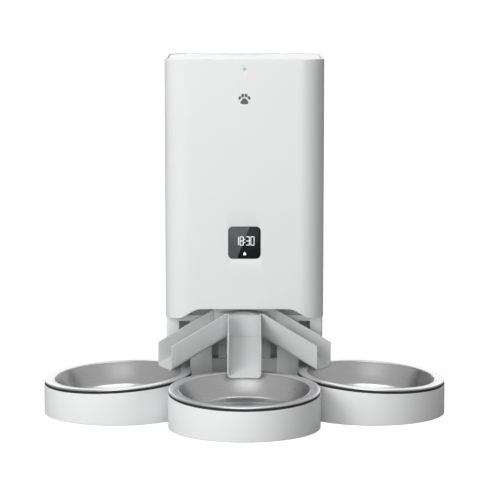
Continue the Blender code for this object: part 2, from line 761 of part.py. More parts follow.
def make_rotor():
    """Six vanes on a hub, with the shaft that drops into the gear motor."""
    floor_top = DISPENSER_FLOOR_Z + DISPENSER_FLOOR_THICKNESS
    low = floor_top + ROTOR_CLEARANCE
    high = DISPENSER_TOP - 3 * MM
    reach = DISPENSER_RADIUS - DISPENSER_WALL - ROTOR_CLEARANCE
    profile = [
        (0, high + 12 * MM),
        (ROTOR_HUB_RADIUS, high),
        (ROTOR_HUB_RADIUS, low),
        (SHAFT_RADIUS, low),
        (SHAFT_RADIUS, DISPENSER_FLOOR_Z - SHAFT_DEPTH),
        (0, DISPENSER_FLOOR_Z - SHAFT_DEPTH),
    ]
    rotor = turned("rotor", profile, material=INNER_WHITE, steps=24)
    for index in range(VANE_COUNT // 2):
        vane = block(
            f"vane_{index}",
            (-reach, -VANE_THICKNESS / 2, low + 0.2 * MM),
            (reach, VANE_THICKNESS / 2, high - 0.2 * MM),
        )
        vane.rotation_euler = (0, 0, VANE_TURN + 2 * pi * index / VANE_COUNT)
        boolean(rotor, "UNION", vane)
    on_pivot("rotor_axis", (0, 0, DISPENSER_FLOOR_Z), rotor)


def make_gear_motor():
    """A motor can under a wider gearbox, on the rotor's axis."""
    top = DISPENSER_FLOOR_Z - 2 * MM
    gearbox_low = top - GEARBOX_HEIGHT
    bore = SHAFT_RADIUS + GAP
    bore_low = DISPENSER_FLOOR_Z - SHAFT_DEPTH - GAP
    profile = [
        (bore, top),
        (GEARBOX_RADIUS, top),
        (GEARBOX_RADIUS, gearbox_low),
        (MOTOR_RADIUS, gearbox_low),
        (MOTOR_RADIUS, FRAME_TOP + GAP),
        (0, FRAME_TOP + GAP),
    ]
    motor = turned("gear_motor", [(0, bore_low), (bore, bore_low)] + profile, material=PLATED, steps=24)
    return motor


def duct_ring(half_width, depth, inset, z, middle_y):
    outline = centred_outline(2 * (half_width - inset), depth - 2 * inset, 3 * MM - inset, 2)
    return ring_at(outline, z, (0, middle_y))


def make_outlet_duct():
    """The slanted tube from the rotor cup's outlet to the hole over the splitter."""
    top_half = OUTLET_HALF_WIDTH + DUCT_WALL
    top_depth = (OUTLET_BACK - OUTLET_FRONT) + 2 * DUCT_WALL
    top = (DISPENSER_FLOOR_Z - GAP, (OUTLET_BACK + OUTLET_FRONT) / 2)
    drop = (FRAME_TOP + GAP, DUCT_DROP_Y)
    rings = [
        duct_ring(DUCT_DROP_HALF_WIDTH, DUCT_DROP_DEPTH, 0, *drop),
        duct_ring(top_half, top_depth, 0, *top),
        duct_ring(top_half, top_depth, DUCT_WALL, *top),
        duct_ring(DUCT_DROP_HALF_WIDTH, DUCT_DROP_DEPTH, DUCT_WALL, *drop),
    ]
    loft("outlet_duct", rings, INNER_WHITE, hollow=True)


# ---------------------------------------------------------------- lid

def make_lid():
    inset = SHELL_WALL + LID_GAP
    width = BODY_WIDTH - 2 * inset
    depth = BODY_DEPTH - 2 * inset
    lid = plate(
        "lid", [centred_outline(width, depth, CORNER_RADIUS - inset, 8)], LID_BOTTOM, LID_TOP, WHITE
    )
    mouth_inset = SHELL_WALL + HOPPER_CLEARANCE + HOPPER_WALL + SEAL_ROOM
    skirt_width = BODY_WIDTH - 2 * mouth_inset
    skirt_depth = BODY_DEPTH - 2 * mouth_inset
    radius = CORNER_RADIUS - mouth_inset
    outer = centred_outline(skirt_width, skirt_depth, radius)
    inner = centred_outline(
        skirt_width - 2 * LID_SKIRT_WALL, skirt_depth - 2 * LID_SKIRT_WALL, radius - LID_SKIRT_WALL
    )
    skirt = plate("lid_skirt", [outer, inner], LID_BOTTOM - LID_SKIRT_DEPTH, LID_BOTTOM + 1 * MM)
    notch_half = LATCH_WIDTH / 2 + GAP
    notch = block(
        "latch_notch",
        (-notch_half, -depth / 2 - 1 * MM, LID_BOTTOM + 1 * MM),
        (notch_half, -depth / 2 + LATCH_DEPTH + LATCH_TRAVEL + GAP, LID_TOP + 1 * MM),
    )
    dish = round_bar(
        "finger_dish",
        DISH_LOW_RADIUS,
        LID_TOP - FINGER_DISH_DEPTH,
        LID_TOP + 1 * MM,
        top_radius=DISH_TOP_RADIUS,
        steps=24,
    )
    dish.scale = (1, 0.42, 1)
    dish.location = (0, BACK_Y - 28 * MM, 0)
    boolean(lid, "UNION", skirt)
    boolean(lid, "DIFFERENCE", notch, dish)
    seal_outer = centred_outline(
        skirt_width + 2 * (SEAL_ROOM - GAP), skirt_depth + 2 * (SEAL_ROOM - GAP), radius + SEAL_ROOM - GAP
    )
    seal_inner = centred_outline(skirt_width + 2 * GAP, skirt_depth + 2 * GAP, radius + GAP)
    plate("lid_seal", [seal_outer, seal_inner], LID_BOTTOM - 8 * MM, LID_BOTTOM - 4 * MM, SEAL_RUBBER)
    latch_low = LID_BOTTOM + 1 * MM + GAP
    block(
        "lid_latch",
        (-LATCH_WIDTH / 2, -depth / 2, latch_low),
        (LATCH_WIDTH / 2, -depth / 2 + LATCH_DEPTH, LID_TOP - 0.2 * MM),
        WHITE,
    )


def make_desiccant():
    top = LID_BOTTOM - GAP
    low = top - DESICCANT_DEPTH
    inner = DESICCANT_RADIUS - DESICCANT_WALL
    box_profile = [
        (0, top),
        (DESICCANT_RADIUS, top),
        (DESICCANT_RADIUS, low),
        (inner, low),
        (inner, top - DESICCANT_WALL),
        (0, top - DESICCANT_WALL),
    ]
    turned("desiccant_box", box_profile, material=INNER_WHITE, steps=32)
    cap_top = low - GAP
    cap_profile = [
        (0, cap_top),
        (DESICCANT_RADIUS, cap_top),
        (DESICCANT_RADIUS, cap_top - 4 * MM),
        (0, cap_top - 4 * MM),
    ]
    cap = turned("desiccant_cap", cap_profile, material=INNER_WHITE, steps=32)
    slot_half = 1.3 * MM
    for index in range(3):
        slot = block(
            f"cap_slot_{index}",
            (-18 * MM, (index - 1) * 9 * MM - slot_half, cap_top - 8 * MM),
            (18 * MM, (index - 1) * 9 * MM + slot_half, cap_top + 4 * MM),
        )
        boolean(cap, "DIFFERENCE", slot)
    on_pivot("cap_axis", (0, 0, cap_top), cap)


# ---------------------------------------------------------------- front panel and electrics

def make_display():
    window = plate(
        "display_window",
        [centred_outline(DISPLAY_SIZE, DISPLAY_SIZE, DISPLAY_CORNER, 4)],
        0,
        WINDOW_THICKNESS,
        DARK_GLASS,
    )
    window.rotation_euler = (pi / 2, 0, 0)
    window.location = (0, FRONT_Y + 0.1 * MM + WINDOW_THICKNESS, DISPLAY_CENTRE_Z)
    module_front = FRONT_Y + SHELL_WALL + GAP
    board = block(
        "display_board",
        (-23 * MM, module_front + 4 * MM, DISPLAY_CENTRE_Z - 27 * MM),
        (23 * MM, module_front + 5.6 * MM, DISPLAY_CENTRE_Z + 27 * MM),
        BOARD_GREEN,
    )
    module = block(
        "display_module",
        (-15 * MM, module_front, DISPLAY_CENTRE_Z - 14 * MM),
        (15 * MM, module_front + 4.5 * MM, DISPLAY_CENTRE_Z + 14 * MM),
    )
    boolean(board, "UNION", module)


def make_led():
    lens = round_bar("led_lens", LED_RADIUS, 0, 4.4 * MM, material=LED_TEAL, steps=12)
    lens.rotation_euler = (pi / 2, 0, 0)
    lens.location = (0, FRONT_Y + 0.1 * MM + 4.4 * MM, LED_Z)


def make_power():
    low, high = battery_opening()
    floor = BASE_FLOOR + GAP
    top = floor + 2 * CELL_RADIUS + 5 * MM
    box = block("battery_box", (low[0], low[1], floor), (high[0], high[1], top), INNER_WHITE)
    inside = block(
        "battery_box_inside",
        (low[0] + BOX_WALL, low[1] + BOX_WALL, floor - 5 * MM),
        (high[0] - BOX_WALL, high[1] - BOX_WALL, top - BOX_WALL),
    )
    boolean(box, "DIFFERENCE", inside)
    centre_z = floor + CELL_RADIUS + 1 * MM
    radius = CELL_RADIUS - GAP
    half_length = CELL_LENGTH / 2 - 1.5 * MM
    for index in range(CELL_COUNT):
        x = (index - (CELL_COUNT - 1) / 2) * (CELL_PITCH - 1.2 * MM)
        profile = [
            (0, half_length),
            (4.7 * MM, half_length),
            (4.7 * MM, half_length - 1.5 * MM),
            (radius, half_length - 1.5 * MM),
            (radius, -half_length),
            (0, -half_length),
        ]
        cell = turned(
            f"battery_{index + 1}", profile, (x, BATTERY_CENTRE_Y, centre_z), CELL_WRAP, SMALL_STEPS
        )
        cell.rotation_euler = (pi / 2 if index % 2 else -pi / 2, 0, 0)
    block(
        "battery_door",
        (low[0] - 3 * MM, low[1] - 3 * MM, BASE_PLATE_BOTTOM - GAP - 1.8 * MM),
        (high[0] + 3 * MM, high[1] + 3 * MM, BASE_PLATE_BOTTOM - GAP),
        INNER_WHITE,
    )
    board_z = top + 3 * MM
    board = block(
        "main_board",
        (-BOARD_HALF, -2 * MM, board_z),
        (BOARD_HALF, 58 * MM, board_z + BOARD_THICKNESS),
        BOARD_GREEN,
    )
    module = block(
        "radio_module", (-38 * MM, 10 * MM, board_z + 1 * MM), (-20 * MM, 34 * MM, board_z + 4 * MM)
    )
    connector = block(
        "motor_connector", (10 * MM, 3 * MM, board_z + 1 * MM), (26 * MM, 9 * MM, board_z + 8 * MM)
    )
    boolean(board, "UNION", module, connector)


def make_dc_socket():
    """A barrel socket in the base's back wall: a sleeve with its centre pin."""
    depth = 12 * MM
    bore = 2.9 * MM
    pin = 1.0 * MM
    profile = [
        (0, -1 * MM),
        (pin, -1 * MM),
        (pin, -9 * MM),
        (bore, -9 * MM),
        (bore, 0),
        (SOCKET_RADIUS, 0),
        (SOCKET_RADIUS, -depth),
        (0, -depth),
    ]
    socket = turned("dc_socket", profile, (SOCKET_X, BASE_BACK + 0.3 * MM, SOCKET_Z), RUBBER, SMALL_STEPS)
    socket.rotation_euler = (-pi / 2, 0, 0)


# ---------------------------------------------------------------- bowls

def arm_slot(name, centre, out, width):
    """The notch that lets a holder slide off its arm, on the side towards the body."""
    slot = block(
        name,
        (BOWL_RADIUS - ARM_GRIP - 2 * MM, -width / 2, -2 * MM),
        (BOWL_RADIUS + 5 * MM, width / 2, ARM_BOTTOM + ARM_THICKNESS + GAP),
    )
    slot.rotation_euler = (0, 0, (-out).to_2d().angle_signed(Vector((1, 0))))
    slot.location = centre
    return slot


def leaning_ring(radius, height, lean=0.0, steps=ROUND_STEPS):
    """A circle of points that rises by lean for each metre along X."""
    turns = [2 * pi * step / steps for step in range(steps)]
    return [(radius * cos(turn), radius * sin(turn), height + lean * radius * cos(turn)) for turn in turns]


def holder_rings():
    """A ring wall with a floor. Its rim leans up towards +X, and has a ledge for the bowl's edge."""
    lean = tan(RIM_TILT)
    inner = BOWL_RADIUS - HOLDER_WALL
    floor_top = HOLDER_FLOOR_Z + HOLDER_FLOOR_THICKNESS
    bead_radius = BOWL_RADIUS - RIM_INSET - BEAD_RADIUS
    return [
        leaning_ring(inner - 1 * MM, floor_top),
        leaning_ring(inner, floor_top + 1 * MM),
        leaning_ring(inner, RIM_REST_Z - 0.4 * MM, lean),
        leaning_ring(inner + 0.4 * MM, RIM_REST_Z, lean),
        leaning_ring(bead_radius + 0.3 * MM, RIM_REST_Z, lean),
        leaning_ring(bead_radius + 0.7 * MM, RIM_REST_Z - RIM_STEP, lean),
        leaning_ring(BOWL_RADIUS - 0.5 * MM, RIM_REST_Z - RIM_STEP, lean),
        leaning_ring(BOWL_RADIUS, RIM_REST_Z - RIM_STEP - 0.5 * MM, lean),
        leaning_ring(BOWL_RADIUS, HOLDER_BOTTOM + 0.8 * MM),
        leaning_ring(BOWL_RADIUS - 0.8 * MM, HOLDER_BOTTOM),
        leaning_ring(inner, HOLDER_BOTTOM),
        leaning_ring(inner, HOLDER_FLOOR_Z),
    ]


def make_bowl(title, centre, out):
    inner = BOWL_RADIUS - HOLDER_WALL
    slot = arm_slot(f"slot_{title}", centre, out, ARM_WIDTH + 2 * ARM_CLEARANCE)
    holder = loft(f"bowl_holder_{title}", holder_rings(), WHITE)
    holder.rotation_euler = slot.rotation_euler
    holder.location = centre
    boolean(holder, "DIFFERENCE", slot)
    grip_profile = [
        (inner - 1.5 * MM, HOLDER_FLOOR_Z - GAP),
        (inner - 1.5 * MM, 0),
        (inner - 6.5 * MM, 0),
        (inner - 6.5 * MM, HOLDER_FLOOR_Z - GAP),
    ]
    grip = turned(f"grip_ring_{title}", grip_profile, centre, RUBBER, 32, closed=True)
    grip_slot = block(
        f"grip_slot_{title}", (inner - 20 * MM, -16 * MM, -2 * MM), (
            inner + 5 * MM, 16 * MM, HOLDER_FLOOR_Z + 2 * MM
        )
    )
    grip_slot.rotation_euler = slot.rotation_euler
    grip_slot.location = centre
    boolean(grip, "DIFFERENCE", grip_slot)
    rest = centre + Vector((0, 0, RIM_REST_Z + GAP))
    bowl = turned(f"steel_bowl_{title}", steel_profile(), rest, STEEL_FINISH)
    bowl.rotation_euler = (0, -RIM_TILT, slot.rotation_euler.z)
    on_pivot(f"spin_axis_{title}", rest, bowl)


def steel_profile():
    """A dish with a flat flange and a rolled edge, whose underside is at height 0."""
    edge = BOWL_RADIUS - RIM_INSET
    top_z = 2 * BEAD_RADIUS
    bead = arc((edge - BEAD_RADIUS, BEAD_RADIUS), BEAD_RADIUS, pi / 2, -pi, 5)
    opening = edge - FLANGE_WIDTH
    floor_top = top_z - DISH_DEPTH
    floor_radius = opening * 0.7
    inside = [
        (0, floor_top),
        (floor_radius, floor_top),
        (floor_radius + 7 * MM, floor_top + 2 * MM),
        (floor_radius + 11.5 * MM, floor_top + 6.5 * MM),
        (opening - 2.2 * MM, top_z - 2.6 * MM),
        (opening - 1.2 * MM, top_z - 0.8 * MM),
        (opening + 0.8 * MM, top_z),
    ]
    outside = [
        (opening + 0.6 * MM, top_z - STEEL),
        (opening - 0.2 * MM, top_z - 1.6 * MM),
        (opening - 1.1 * MM, top_z - 3.2 * MM),
        (floor_radius + 12.4 * MM, floor_top + 5.9 * MM),
        (floor_radius + 7.6 * MM, floor_top + 1.1 * MM),
        (floor_radius, floor_top - STEEL),
        (0, floor_top - STEEL),
    ]
    neck = [(edge - 2 * BEAD_RADIUS, top_z - STEEL)]
    return inside + bead + neck + outside


def make_bowls():
    make_bowl("front", FRONT_BOWL, Vector((0, -1, 0)))
    make_bowl("right", SIDE_BOWL, SIDE_OUT)
    make_bowl("left", Vector((-SIDE_BOWL.x, SIDE_BOWL.y, 0)), Vector((-SIDE_OUT.x, SIDE_OUT.y, 0)))


def centre_footprint():
    """Hangs everything on one empty that moves the footprint's middle to the origin."""
    front_edge = FRONT_BOWL.y - BOWL_RADIUS
    origin = bpy.data.objects.new("footprint_centre", None)
    FEEDER.objects.link(origin)
    origin.location = (0, -(front_edge + BACK_Y) / 2, 0)
    for item in list(bpy.data.objects):
        if item.parent is None and item is not origin:
            item.parent = origin


make_front_shell()
make_back_cover()
make_mid_frame()
make_base_housing()
make_base_plate()
make_base_screws()
make_feet()
make_bowl_bracket()
make_chutes()
make_splitter()
make_hopper()
make_dispenser_housing()
make_rotor()
make_gear_motor()
make_outlet_duct()
make_lid()
make_desiccant()
make_display()
make_led()
make_power()
make_dc_socket()
make_bowls()
centre_footprint()
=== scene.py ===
"""Automatic pet feeder: the finished look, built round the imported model."""

from math import atan2, cos, hypot, pi, radians, sin, tan

import bmesh
import bpy
from mathutils import Matrix, Vector


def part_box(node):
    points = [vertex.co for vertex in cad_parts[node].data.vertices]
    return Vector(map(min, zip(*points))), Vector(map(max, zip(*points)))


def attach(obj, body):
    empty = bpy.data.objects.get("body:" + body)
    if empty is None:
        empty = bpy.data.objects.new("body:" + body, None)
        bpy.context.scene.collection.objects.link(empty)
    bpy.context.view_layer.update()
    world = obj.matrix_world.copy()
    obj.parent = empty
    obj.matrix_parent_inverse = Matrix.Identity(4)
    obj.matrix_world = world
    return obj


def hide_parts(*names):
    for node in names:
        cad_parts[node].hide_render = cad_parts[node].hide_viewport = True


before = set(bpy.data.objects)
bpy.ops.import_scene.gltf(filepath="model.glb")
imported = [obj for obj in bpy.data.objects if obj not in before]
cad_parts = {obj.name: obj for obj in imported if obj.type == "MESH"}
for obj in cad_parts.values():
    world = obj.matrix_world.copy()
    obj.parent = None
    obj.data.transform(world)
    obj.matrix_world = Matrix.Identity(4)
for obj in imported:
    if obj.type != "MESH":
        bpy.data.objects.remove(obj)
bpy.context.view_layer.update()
MM = 0.001

# ---------------------------------------------------------------------------
# Studio: a pale floor in a white surround. Broad soft lights stand at the upper
# left, in front, above and behind, so the right side of the body falls dim.
# ---------------------------------------------------------------------------


class Wire:
    """A node's socket that takes part in sums; each sum adds a Math node."""

    def __init__(self, nodes, socket):
        self.nodes = nodes
        self.socket = socket

    def maths(self, operation, first, second):
        return self.nodes.node("ShaderNodeMath", {"operation": operation}, {0: first, 1: second})

    def __add__(self, other):
        return self.maths("ADD", self, other)

    def __radd__(self, other):
        return self.maths("ADD", other, self)

    def __sub__(self, other):
        return self.maths("SUBTRACT", self, other)

    def __rsub__(self, other):
        return self.maths("SUBTRACT", other, self)

    def __mul__(self, other):
        return self.maths("MULTIPLY", self, other)

    def __rmul__(self, other):
        return self.maths("MULTIPLY", other, self)

    def __truediv__(self, other):
        return self.maths("DIVIDE", self, other)

    def __rtruediv__(self, other):
        return self.maths("DIVIDE", other, self)


class Nodes:
    """A node tree, and the one method that adds a node to it."""

    def __init__(self, tree):
        self.tree = tree

    def node(self, kind, settings=None, inputs=None, output=0):
        made = self.tree.nodes.new(kind)
        for key, value in (settings or {}).items():
            setattr(made, key, value)
        self.join(made, inputs or {})
        return Wire(self, made.outputs[output]) if made.outputs else None

    def join(self, made, inputs):
        for key, value in inputs.items():
            if isinstance(value, Wire):
                self.tree.links.new(value.socket, made.inputs[key])
            else:
                made.inputs[key].default_value = value


class Finish(Nodes):
    """One material: its Principled shader, and the nodes that vary it over a surface."""

    def __init__(self, name, colour, roughness, **fixed):
        self.material = bpy.data.materials.new(name)
        self.material.use_nodes = True
        super().__init__(self.material.node_tree)
        self.shader = self.tree.nodes["Principled BSDF"]
        self.join(self.shader, {"Base Color": (*colour, 1), "Roughness": roughness})
        self.join(self.shader, {title.replace("_", " "): value for title, value in fixed.items()})

    def where(self):
        return self.node("ShaderNodeTexCoord", output="Object")

    def surface_uv(self):
        return self.node("ShaderNodeTexCoord", output="UV")

    def stretched(self, place, scale):
        return self.node("ShaderNodeMapping", {}, {"Vector": place, "Scale": scale})

    def noise(self, place, scale, detail=3.0):
        return self.node(
            "ShaderNodeTexNoise", {}, {"Vector": place, "Scale": scale, "Detail": detail}, "Fac"
        )

    def tint(self, share, first, second):
        return self.node(
            "ShaderNodeMix",
            {"data_type": "RGBA"},
            {"Factor": share, "A": (*first, 1), "B": (*second, 1)},
            2,
        )

    def feed(self, title, wire):
        self.join(self.shader, {title: wire})

    def bump(self, height, distance, strength=1.0):
        settings = {"Height": height, "Distance": distance, "Strength": strength}
        self.feed("Normal", self.node("ShaderNodeBump", {}, settings))


def coat(piece, finish):
    piece.data.materials.clear()
    piece.data.materials.append(finish.material)


def add_piece(name, form):
    mesh = bpy.data.meshes.new(name)
    form.to_mesh(mesh)
    form.free()
    piece = bpy.data.objects.new(name, mesh)
    bpy.context.scene.collection.objects.link(piece)
    return piece


def add_lamp(name, place, aim, size, watts):
    lamp = bpy.data.lights.new(name, "AREA")
    lamp.shape = "RECTANGLE"
    lamp.size, lamp.size_y = size
    lamp.energy = watts
    item = bpy.data.objects.new(name, lamp)
    item.location = place
    item.rotation_euler = (Vector(aim) - Vector(place)).to_track_quat("-Z", "Y").to_euler()
    bpy.context.scene.collection.objects.link(item)
    return item


shell_low, shell_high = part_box("front_shell")
cover_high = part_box("back_cover")[1]
front_y = shell_low.y
back_y = cover_high.y
body_y = (front_y + back_y) / 2
body_top = shell_high.z

CAMERA_ACROSS = 1.78 * MM
CAMERA_DISTANCE = 2651.1 * MM
CAMERA_HEIGHT = 514.5 * MM
CAMERA_DIP = radians(7.18)
camera_data = bpy.data.cameras.new("camera")
camera_data.sensor_width = 36.0
camera_data.lens = 171.23
camera_data.clip_end = 100.0
camera = bpy.data.objects.new("camera", camera_data)
camera.location = (CAMERA_ACROSS, front_y - CAMERA_DISTANCE, CAMERA_HEIGHT)
camera.rotation_euler = (pi / 2 - CAMERA_DIP, 0, 0)
bpy.context.scene.collection.objects.link(camera)
bpy.context.scene.camera = camera

bpy.context.scene.view_settings.view_transform = "Standard"

WHITE = (1, 1, 1, 1)
SOFT_FILL = 0.16
MIRRORED_FILL = 0.34
world = bpy.data.worlds.new("studio")
bpy.context.scene.world = world
world.use_nodes = True
world.node_tree.nodes.clear()
sky = Nodes(world.node_tree)
mirrored = sky.node("ShaderNodeLightPath", output="Is Glossy Ray")
seen = sky.node("ShaderNodeLightPath", output="Is Camera Ray")
fill = sky.node(
    "ShaderNodeBackground", {}, {"Color": WHITE, "Strength": SOFT_FILL + MIRRORED_FILL * mirrored}
)
backdrop = sky.node("ShaderNodeBackground", {}, {"Color": WHITE, "Strength": 1.0})
surround = sky.node("ShaderNodeMixShader", {}, {0: seen, 1: fill, 2: backdrop})
sky.node("ShaderNodeOutputWorld", {}, {"Surface": surround})

FLOOR_HALF = 60
form = bmesh.new()
bmesh.ops.create_grid(form, x_segments=1, y_segments=1, size=FLOOR_HALF)
floor = add_piece("studio_floor", form)
floor_finish = Finish("studio_floor", (0.42, 0.42, 0.42), 0.9)
lit = Wire(floor_finish, floor_finish.shader.outputs["BSDF"])
seen = floor_finish.node("ShaderNodeLightPath", output="Is Camera Ray")
glare = floor_finish.node("ShaderNodeEmission", {}, {"Strength": 1.0})
bright = floor_finish.node("ShaderNodeAddShader", {}, {0: lit, 1: glare})
mixed = floor_finish.node("ShaderNodeMixShader", {}, {0: seen, 1: lit, 2: bright})
floor_finish.join(floor_finish.tree.nodes["Material Output"], {"Surface": mixed})
coat(floor, floor_finish)

key = add_lamp(
    "key_light", place=(-1.35, front_y - 1.5, 1.0), aim=(0, body_y, 0.22), size=(0.9, 1.5), watts=26
)
key.visible_glossy = False
add_lamp(
    "front_light", place=(-0.2, front_y - 2.4, 0.5), aim=(0, body_y, 0.15), size=(1.8, 0.9), watts=17
)
add_lamp("top_light", place=(0, body_y, 2.0), aim=(0, body_y, 0), size=(1.4, 1.4), watts=15)
add_lamp("back_light", place=(0, back_y + 2.4, 1.1), aim=(0, body_y, 0.1), size=(3.4, 1.4), watts=15)

# ---------------------------------------------------------------------------
# Front shell and back cover: injection-moulded white ABS, 2.4 mm thick, with
# a fine satin texture. The front shell's lower edge is arched for the chutes.
# ---------------------------------------------------------------------------
SHELL_WALL = 2.4 * MM
CORNER = 28.0 * MM
EDGE_ROUND = 0.6 * MM
ARCH_TOP = 107.5 * MM
ARCH_FLAT_HALF = 50.0 * MM
ARCH_FOOT_HALF = 79.0 * MM
ARCH_COLUMNS = 44
CORNER_STEPS = 20

white = Finish("satin_white_plastic", (0.82, 0.825, 0.83), 0.34, IOR=1.46)
spot = white.where()
cloud = white.noise(spot, 9.0, 2.0)
grain = white.noise(spot, 2600.0, 2.0)
white.feed("Base Color", white.tint(cloud, (0.80, 0.805, 0.81), (0.84, 0.843, 0.846)))
white.feed("Roughness", 0.30 + 0.10 * grain)
white.bump(grain, 0.00002, 0.25)


def shade(mesh, angle=30):
    mesh.shade_smooth()
    mesh.set_sharp_from_angle(angle=radians(angle))


def settle(piece, angle=30):
    """Turns a piece and its modifiers into a plain mesh."""
    graph = bpy.context.evaluated_depsgraph_get()
    mesh = bpy.data.meshes.new_from_object(piece.evaluated_get(graph))
    piece.modifiers.clear()
    piece.data = mesh
    shade(mesh, angle)
    return piece


def soft_edges(piece, width, segments=3, angle=35):
    bevel = piece.modifiers.new("edges", "BEVEL")
    bevel.width = width
    bevel.segments = segments
    bevel.limit_method = "ANGLE"
    bevel.angle_limit = radians(angle)
    bevel.miter_outer = "MITER_ARC"


def combine(piece, operation, *tools):
    for tool in tools:
        step = piece.modifiers.new(operation.lower(), "BOOLEAN")
        step.operation = operation
        step.object = tool
    settle(piece)
    for tool in tools:
        bpy.data.objects.remove(tool)
    return piece


def arc(centre, radius, start, end, steps):
    return [
        (
            centre[0] + radius * cos(start + (end - start) * i / steps),
            centre[1] + radius * sin(start + (end - start) * i / steps),
        )
        for i in range(steps + 1)
    ]


def rounded_outline(low, high, radii, steps=CORNER_STEPS):
    """A rectangle from its front right corner round to its front left one."""
    (x0, y0), (x1, y1) = low, high
    a, b, c, d = radii
    return (
        arc((x1 - a, y0 + a), a, -pi / 2, 0, steps)
        + arc((x1 - b, y1 - b), b, 0, pi / 2, steps)
        + arc((x0 + c, y1 - c), c, pi / 2, pi, steps)
        + arc((x0 + d, y0 + d), d, pi, 3 * pi / 2, steps)
    )


def slab(name, outline, low_z, high_z, turn=None):
    """An outline made thick, standing on its own place or turned to it."""
    form = bmesh.new()
    lower = [form.verts.new((x, y, low_z)) for x, y in outline]
    upper = [form.verts.new((x, y, high_z)) for x, y in outline]
    count = len(outline)
    for i in range(count):
        j = (i + 1) % count
        form.faces.new((lower[i], lower[j], upper[j], upper[i]))
    form.faces.new(list(reversed(lower)))
    form.faces.new(upper)
    if turn is not None:
        form.transform(turn)
    return add_piece(name, form)


def brick(name, low, high):
    form = bmesh.new()
    bmesh.ops.create_cube(form, size=1)
    low, high = Vector(low), Vector(high)
    form.transform(Matrix.Translation((low + high) / 2) @ Matrix.Diagonal((*(high - low), 1)))
    return add_piece(name, form)


def shell_path(front):
    """The plan of one half of the body, anticlockwise, from seam to seam."""
    half = shell_high.x
    inner = half - CORNER
    if front:
        seam = shell_high.y
        edge = front_y + CORNER
        sides = [(-half, seam), (-half, (seam + edge) / 2)]
        middle = [(-inner + 2 * inner * i / ARCH_COLUMNS, front_y) for i in range(1, ARCH_COLUMNS)]
        left = arc((-inner, edge), CORNER, pi, 3 * pi / 2, CORNER_STEPS)
        right = arc((inner, edge), CORNER, -pi / 2, 0, CORNER_STEPS)
        return sides + left + middle + right + [(half, (seam + edge) / 2), (half, seam)]
    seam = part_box("back_cover")[0].y
    edge = back_y - CORNER
    right = arc((inner, edge), CORNER, 0, pi / 2, CORNER_STEPS)
    left = arc((-inner, edge), CORNER, pi / 2, pi, CORNER_STEPS)
    return [(half, seam)] + right + [(0, back_y)] + left + [(-half, seam)]


def shell_bottom(x, y, front):
    """The height of the bottom edge: an S-curve leads up to the flat of the arch."""
    if not front or y > front_y + CORNER or abs(x) > ARCH_FOOT_HALF:
        return shell_low.z
    share = (ARCH_FOOT_HALF - abs(x)) / (ARCH_FOOT_HALF - ARCH_FLAT_HALF)
    return shell_low.z + (ARCH_TOP - shell_low.z) * (1 - cos(pi * min(share, 1.0))) / 2


def body_skin(name, front):
    levels = (0, 0.012, 0.04, 0.15, 0.4, 0.65, 0.9, 0.985, 1)
    path = shell_path(front)
    form = bmesh.new()
    rows = []
    for level in levels:
        row = []
        for x, y in path:
            low = shell_bottom(x, y, front)
            row.append(form.verts.new((x, y, low + (body_top - low) * level)))
        rows.append(row)
    for lower, upper in zip(rows, rows[1:]):
        for i in range(len(path) - 1):
            form.faces.new((lower[i], lower[i + 1], upper[i + 1], upper[i]))
    piece = add_piece(name, form)
    wall = piece.modifiers.new("wall", "SOLIDIFY")
    wall.thickness = SHELL_WALL
    wall.offset = -1
    wall.use_even_offset = True
    return piece


GAP = 0.3 * MM
WINDOW_CORNER = 5.0 * MM
CUTTER_REACH = 6.0 * MM
window_low, window_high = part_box("display_window")
lens_low, lens_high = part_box("led_lens")
window_middle = (window_low + window_high) / 2
window_half = (window_high.x - window_low.x) / 2
upright = Matrix.Rotation(pi / 2, 4, "X")


def window_outline(half, corner):
    return rounded_outline((-half, -half), (half, half), [corner] * 4, 8)


def round_outline(radius, sides=32):
    """A circle's points, the last one short of the first."""
    return arc((0, 0), radius, 0, 2 * pi * (sides - 1) / sides, sides - 1)


front_shell = body_skin("front_shell_moulding", True)
opening = slab(
    "opening",
    window_outline(window_half + GAP, WINDOW_CORNER + GAP),
    -CUTTER_REACH,
    CUTTER_REACH,
    Matrix.Translation((0, front_y, window_middle.z)) @ upright,
)
lens_radius = (lens_high.x - lens_low.x) / 2
lens_z = (lens_high.z + lens_low.z) / 2
lens_hole = slab(
    "lens_hole",
    round_outline(lens_radius + GAP),
    -CUTTER_REACH,
    CUTTER_REACH,
    Matrix.Translation((0, front_y, lens_z)) @ upright,
)
combine(front_shell, "DIFFERENCE", opening, lens_hole)
soft_edges(front_shell, EDGE_ROUND, 3)
settle(front_shell)
back_cover = body_skin("back_cover_moulding", False)
soft_edges(back_cover, EDGE_ROUND, 3)
settle(back_cover)
for piece, node in ((front_shell, "front_shell"), (back_cover, "back_cover")):
    coat(piece, white)
    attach(piece, "feeder")
    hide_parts(node)

# ---------------------------------------------------------------------------
# Lid: a loose white plate that lies flush inside the shell's rim, on a skirt
# that guides it. It has a shallow finger dish and a sprung latch in front.
# ---------------------------------------------------------------------------
LID_EDGE = 0.8 * MM
LID_PLATE = 4.0 * MM
LID_CORNER = 25.0 * MM
FINGER_DISH_HALVES = Vector((46, 19, 10)) * MM
FINGER_DISH_SETBACK = 25.0 * MM
FINGER_DISH_LIFT = 7.5 * MM
LATCH_TRAVEL_ROOM = 2.8 * MM
LATCH_EDGE = 0.5 * MM
CUTTER_SPARE = 5.0 * MM
SKIRT_INSET = 6.4 * MM
SKIRT_WALL = 2.2 * MM
SKIRT_CORNER = 18.6 * MM
lid_low, lid_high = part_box("lid")
latch_low, latch_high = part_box("lid_latch")
lid_outline = rounded_outline((lid_low.x, lid_low.y), (lid_high.x, lid_high.y), [LID_CORNER] * 4)
lid = slab("lid_plate", lid_outline, lid_high.z - LID_PLATE, lid_high.z)
form = bmesh.new()
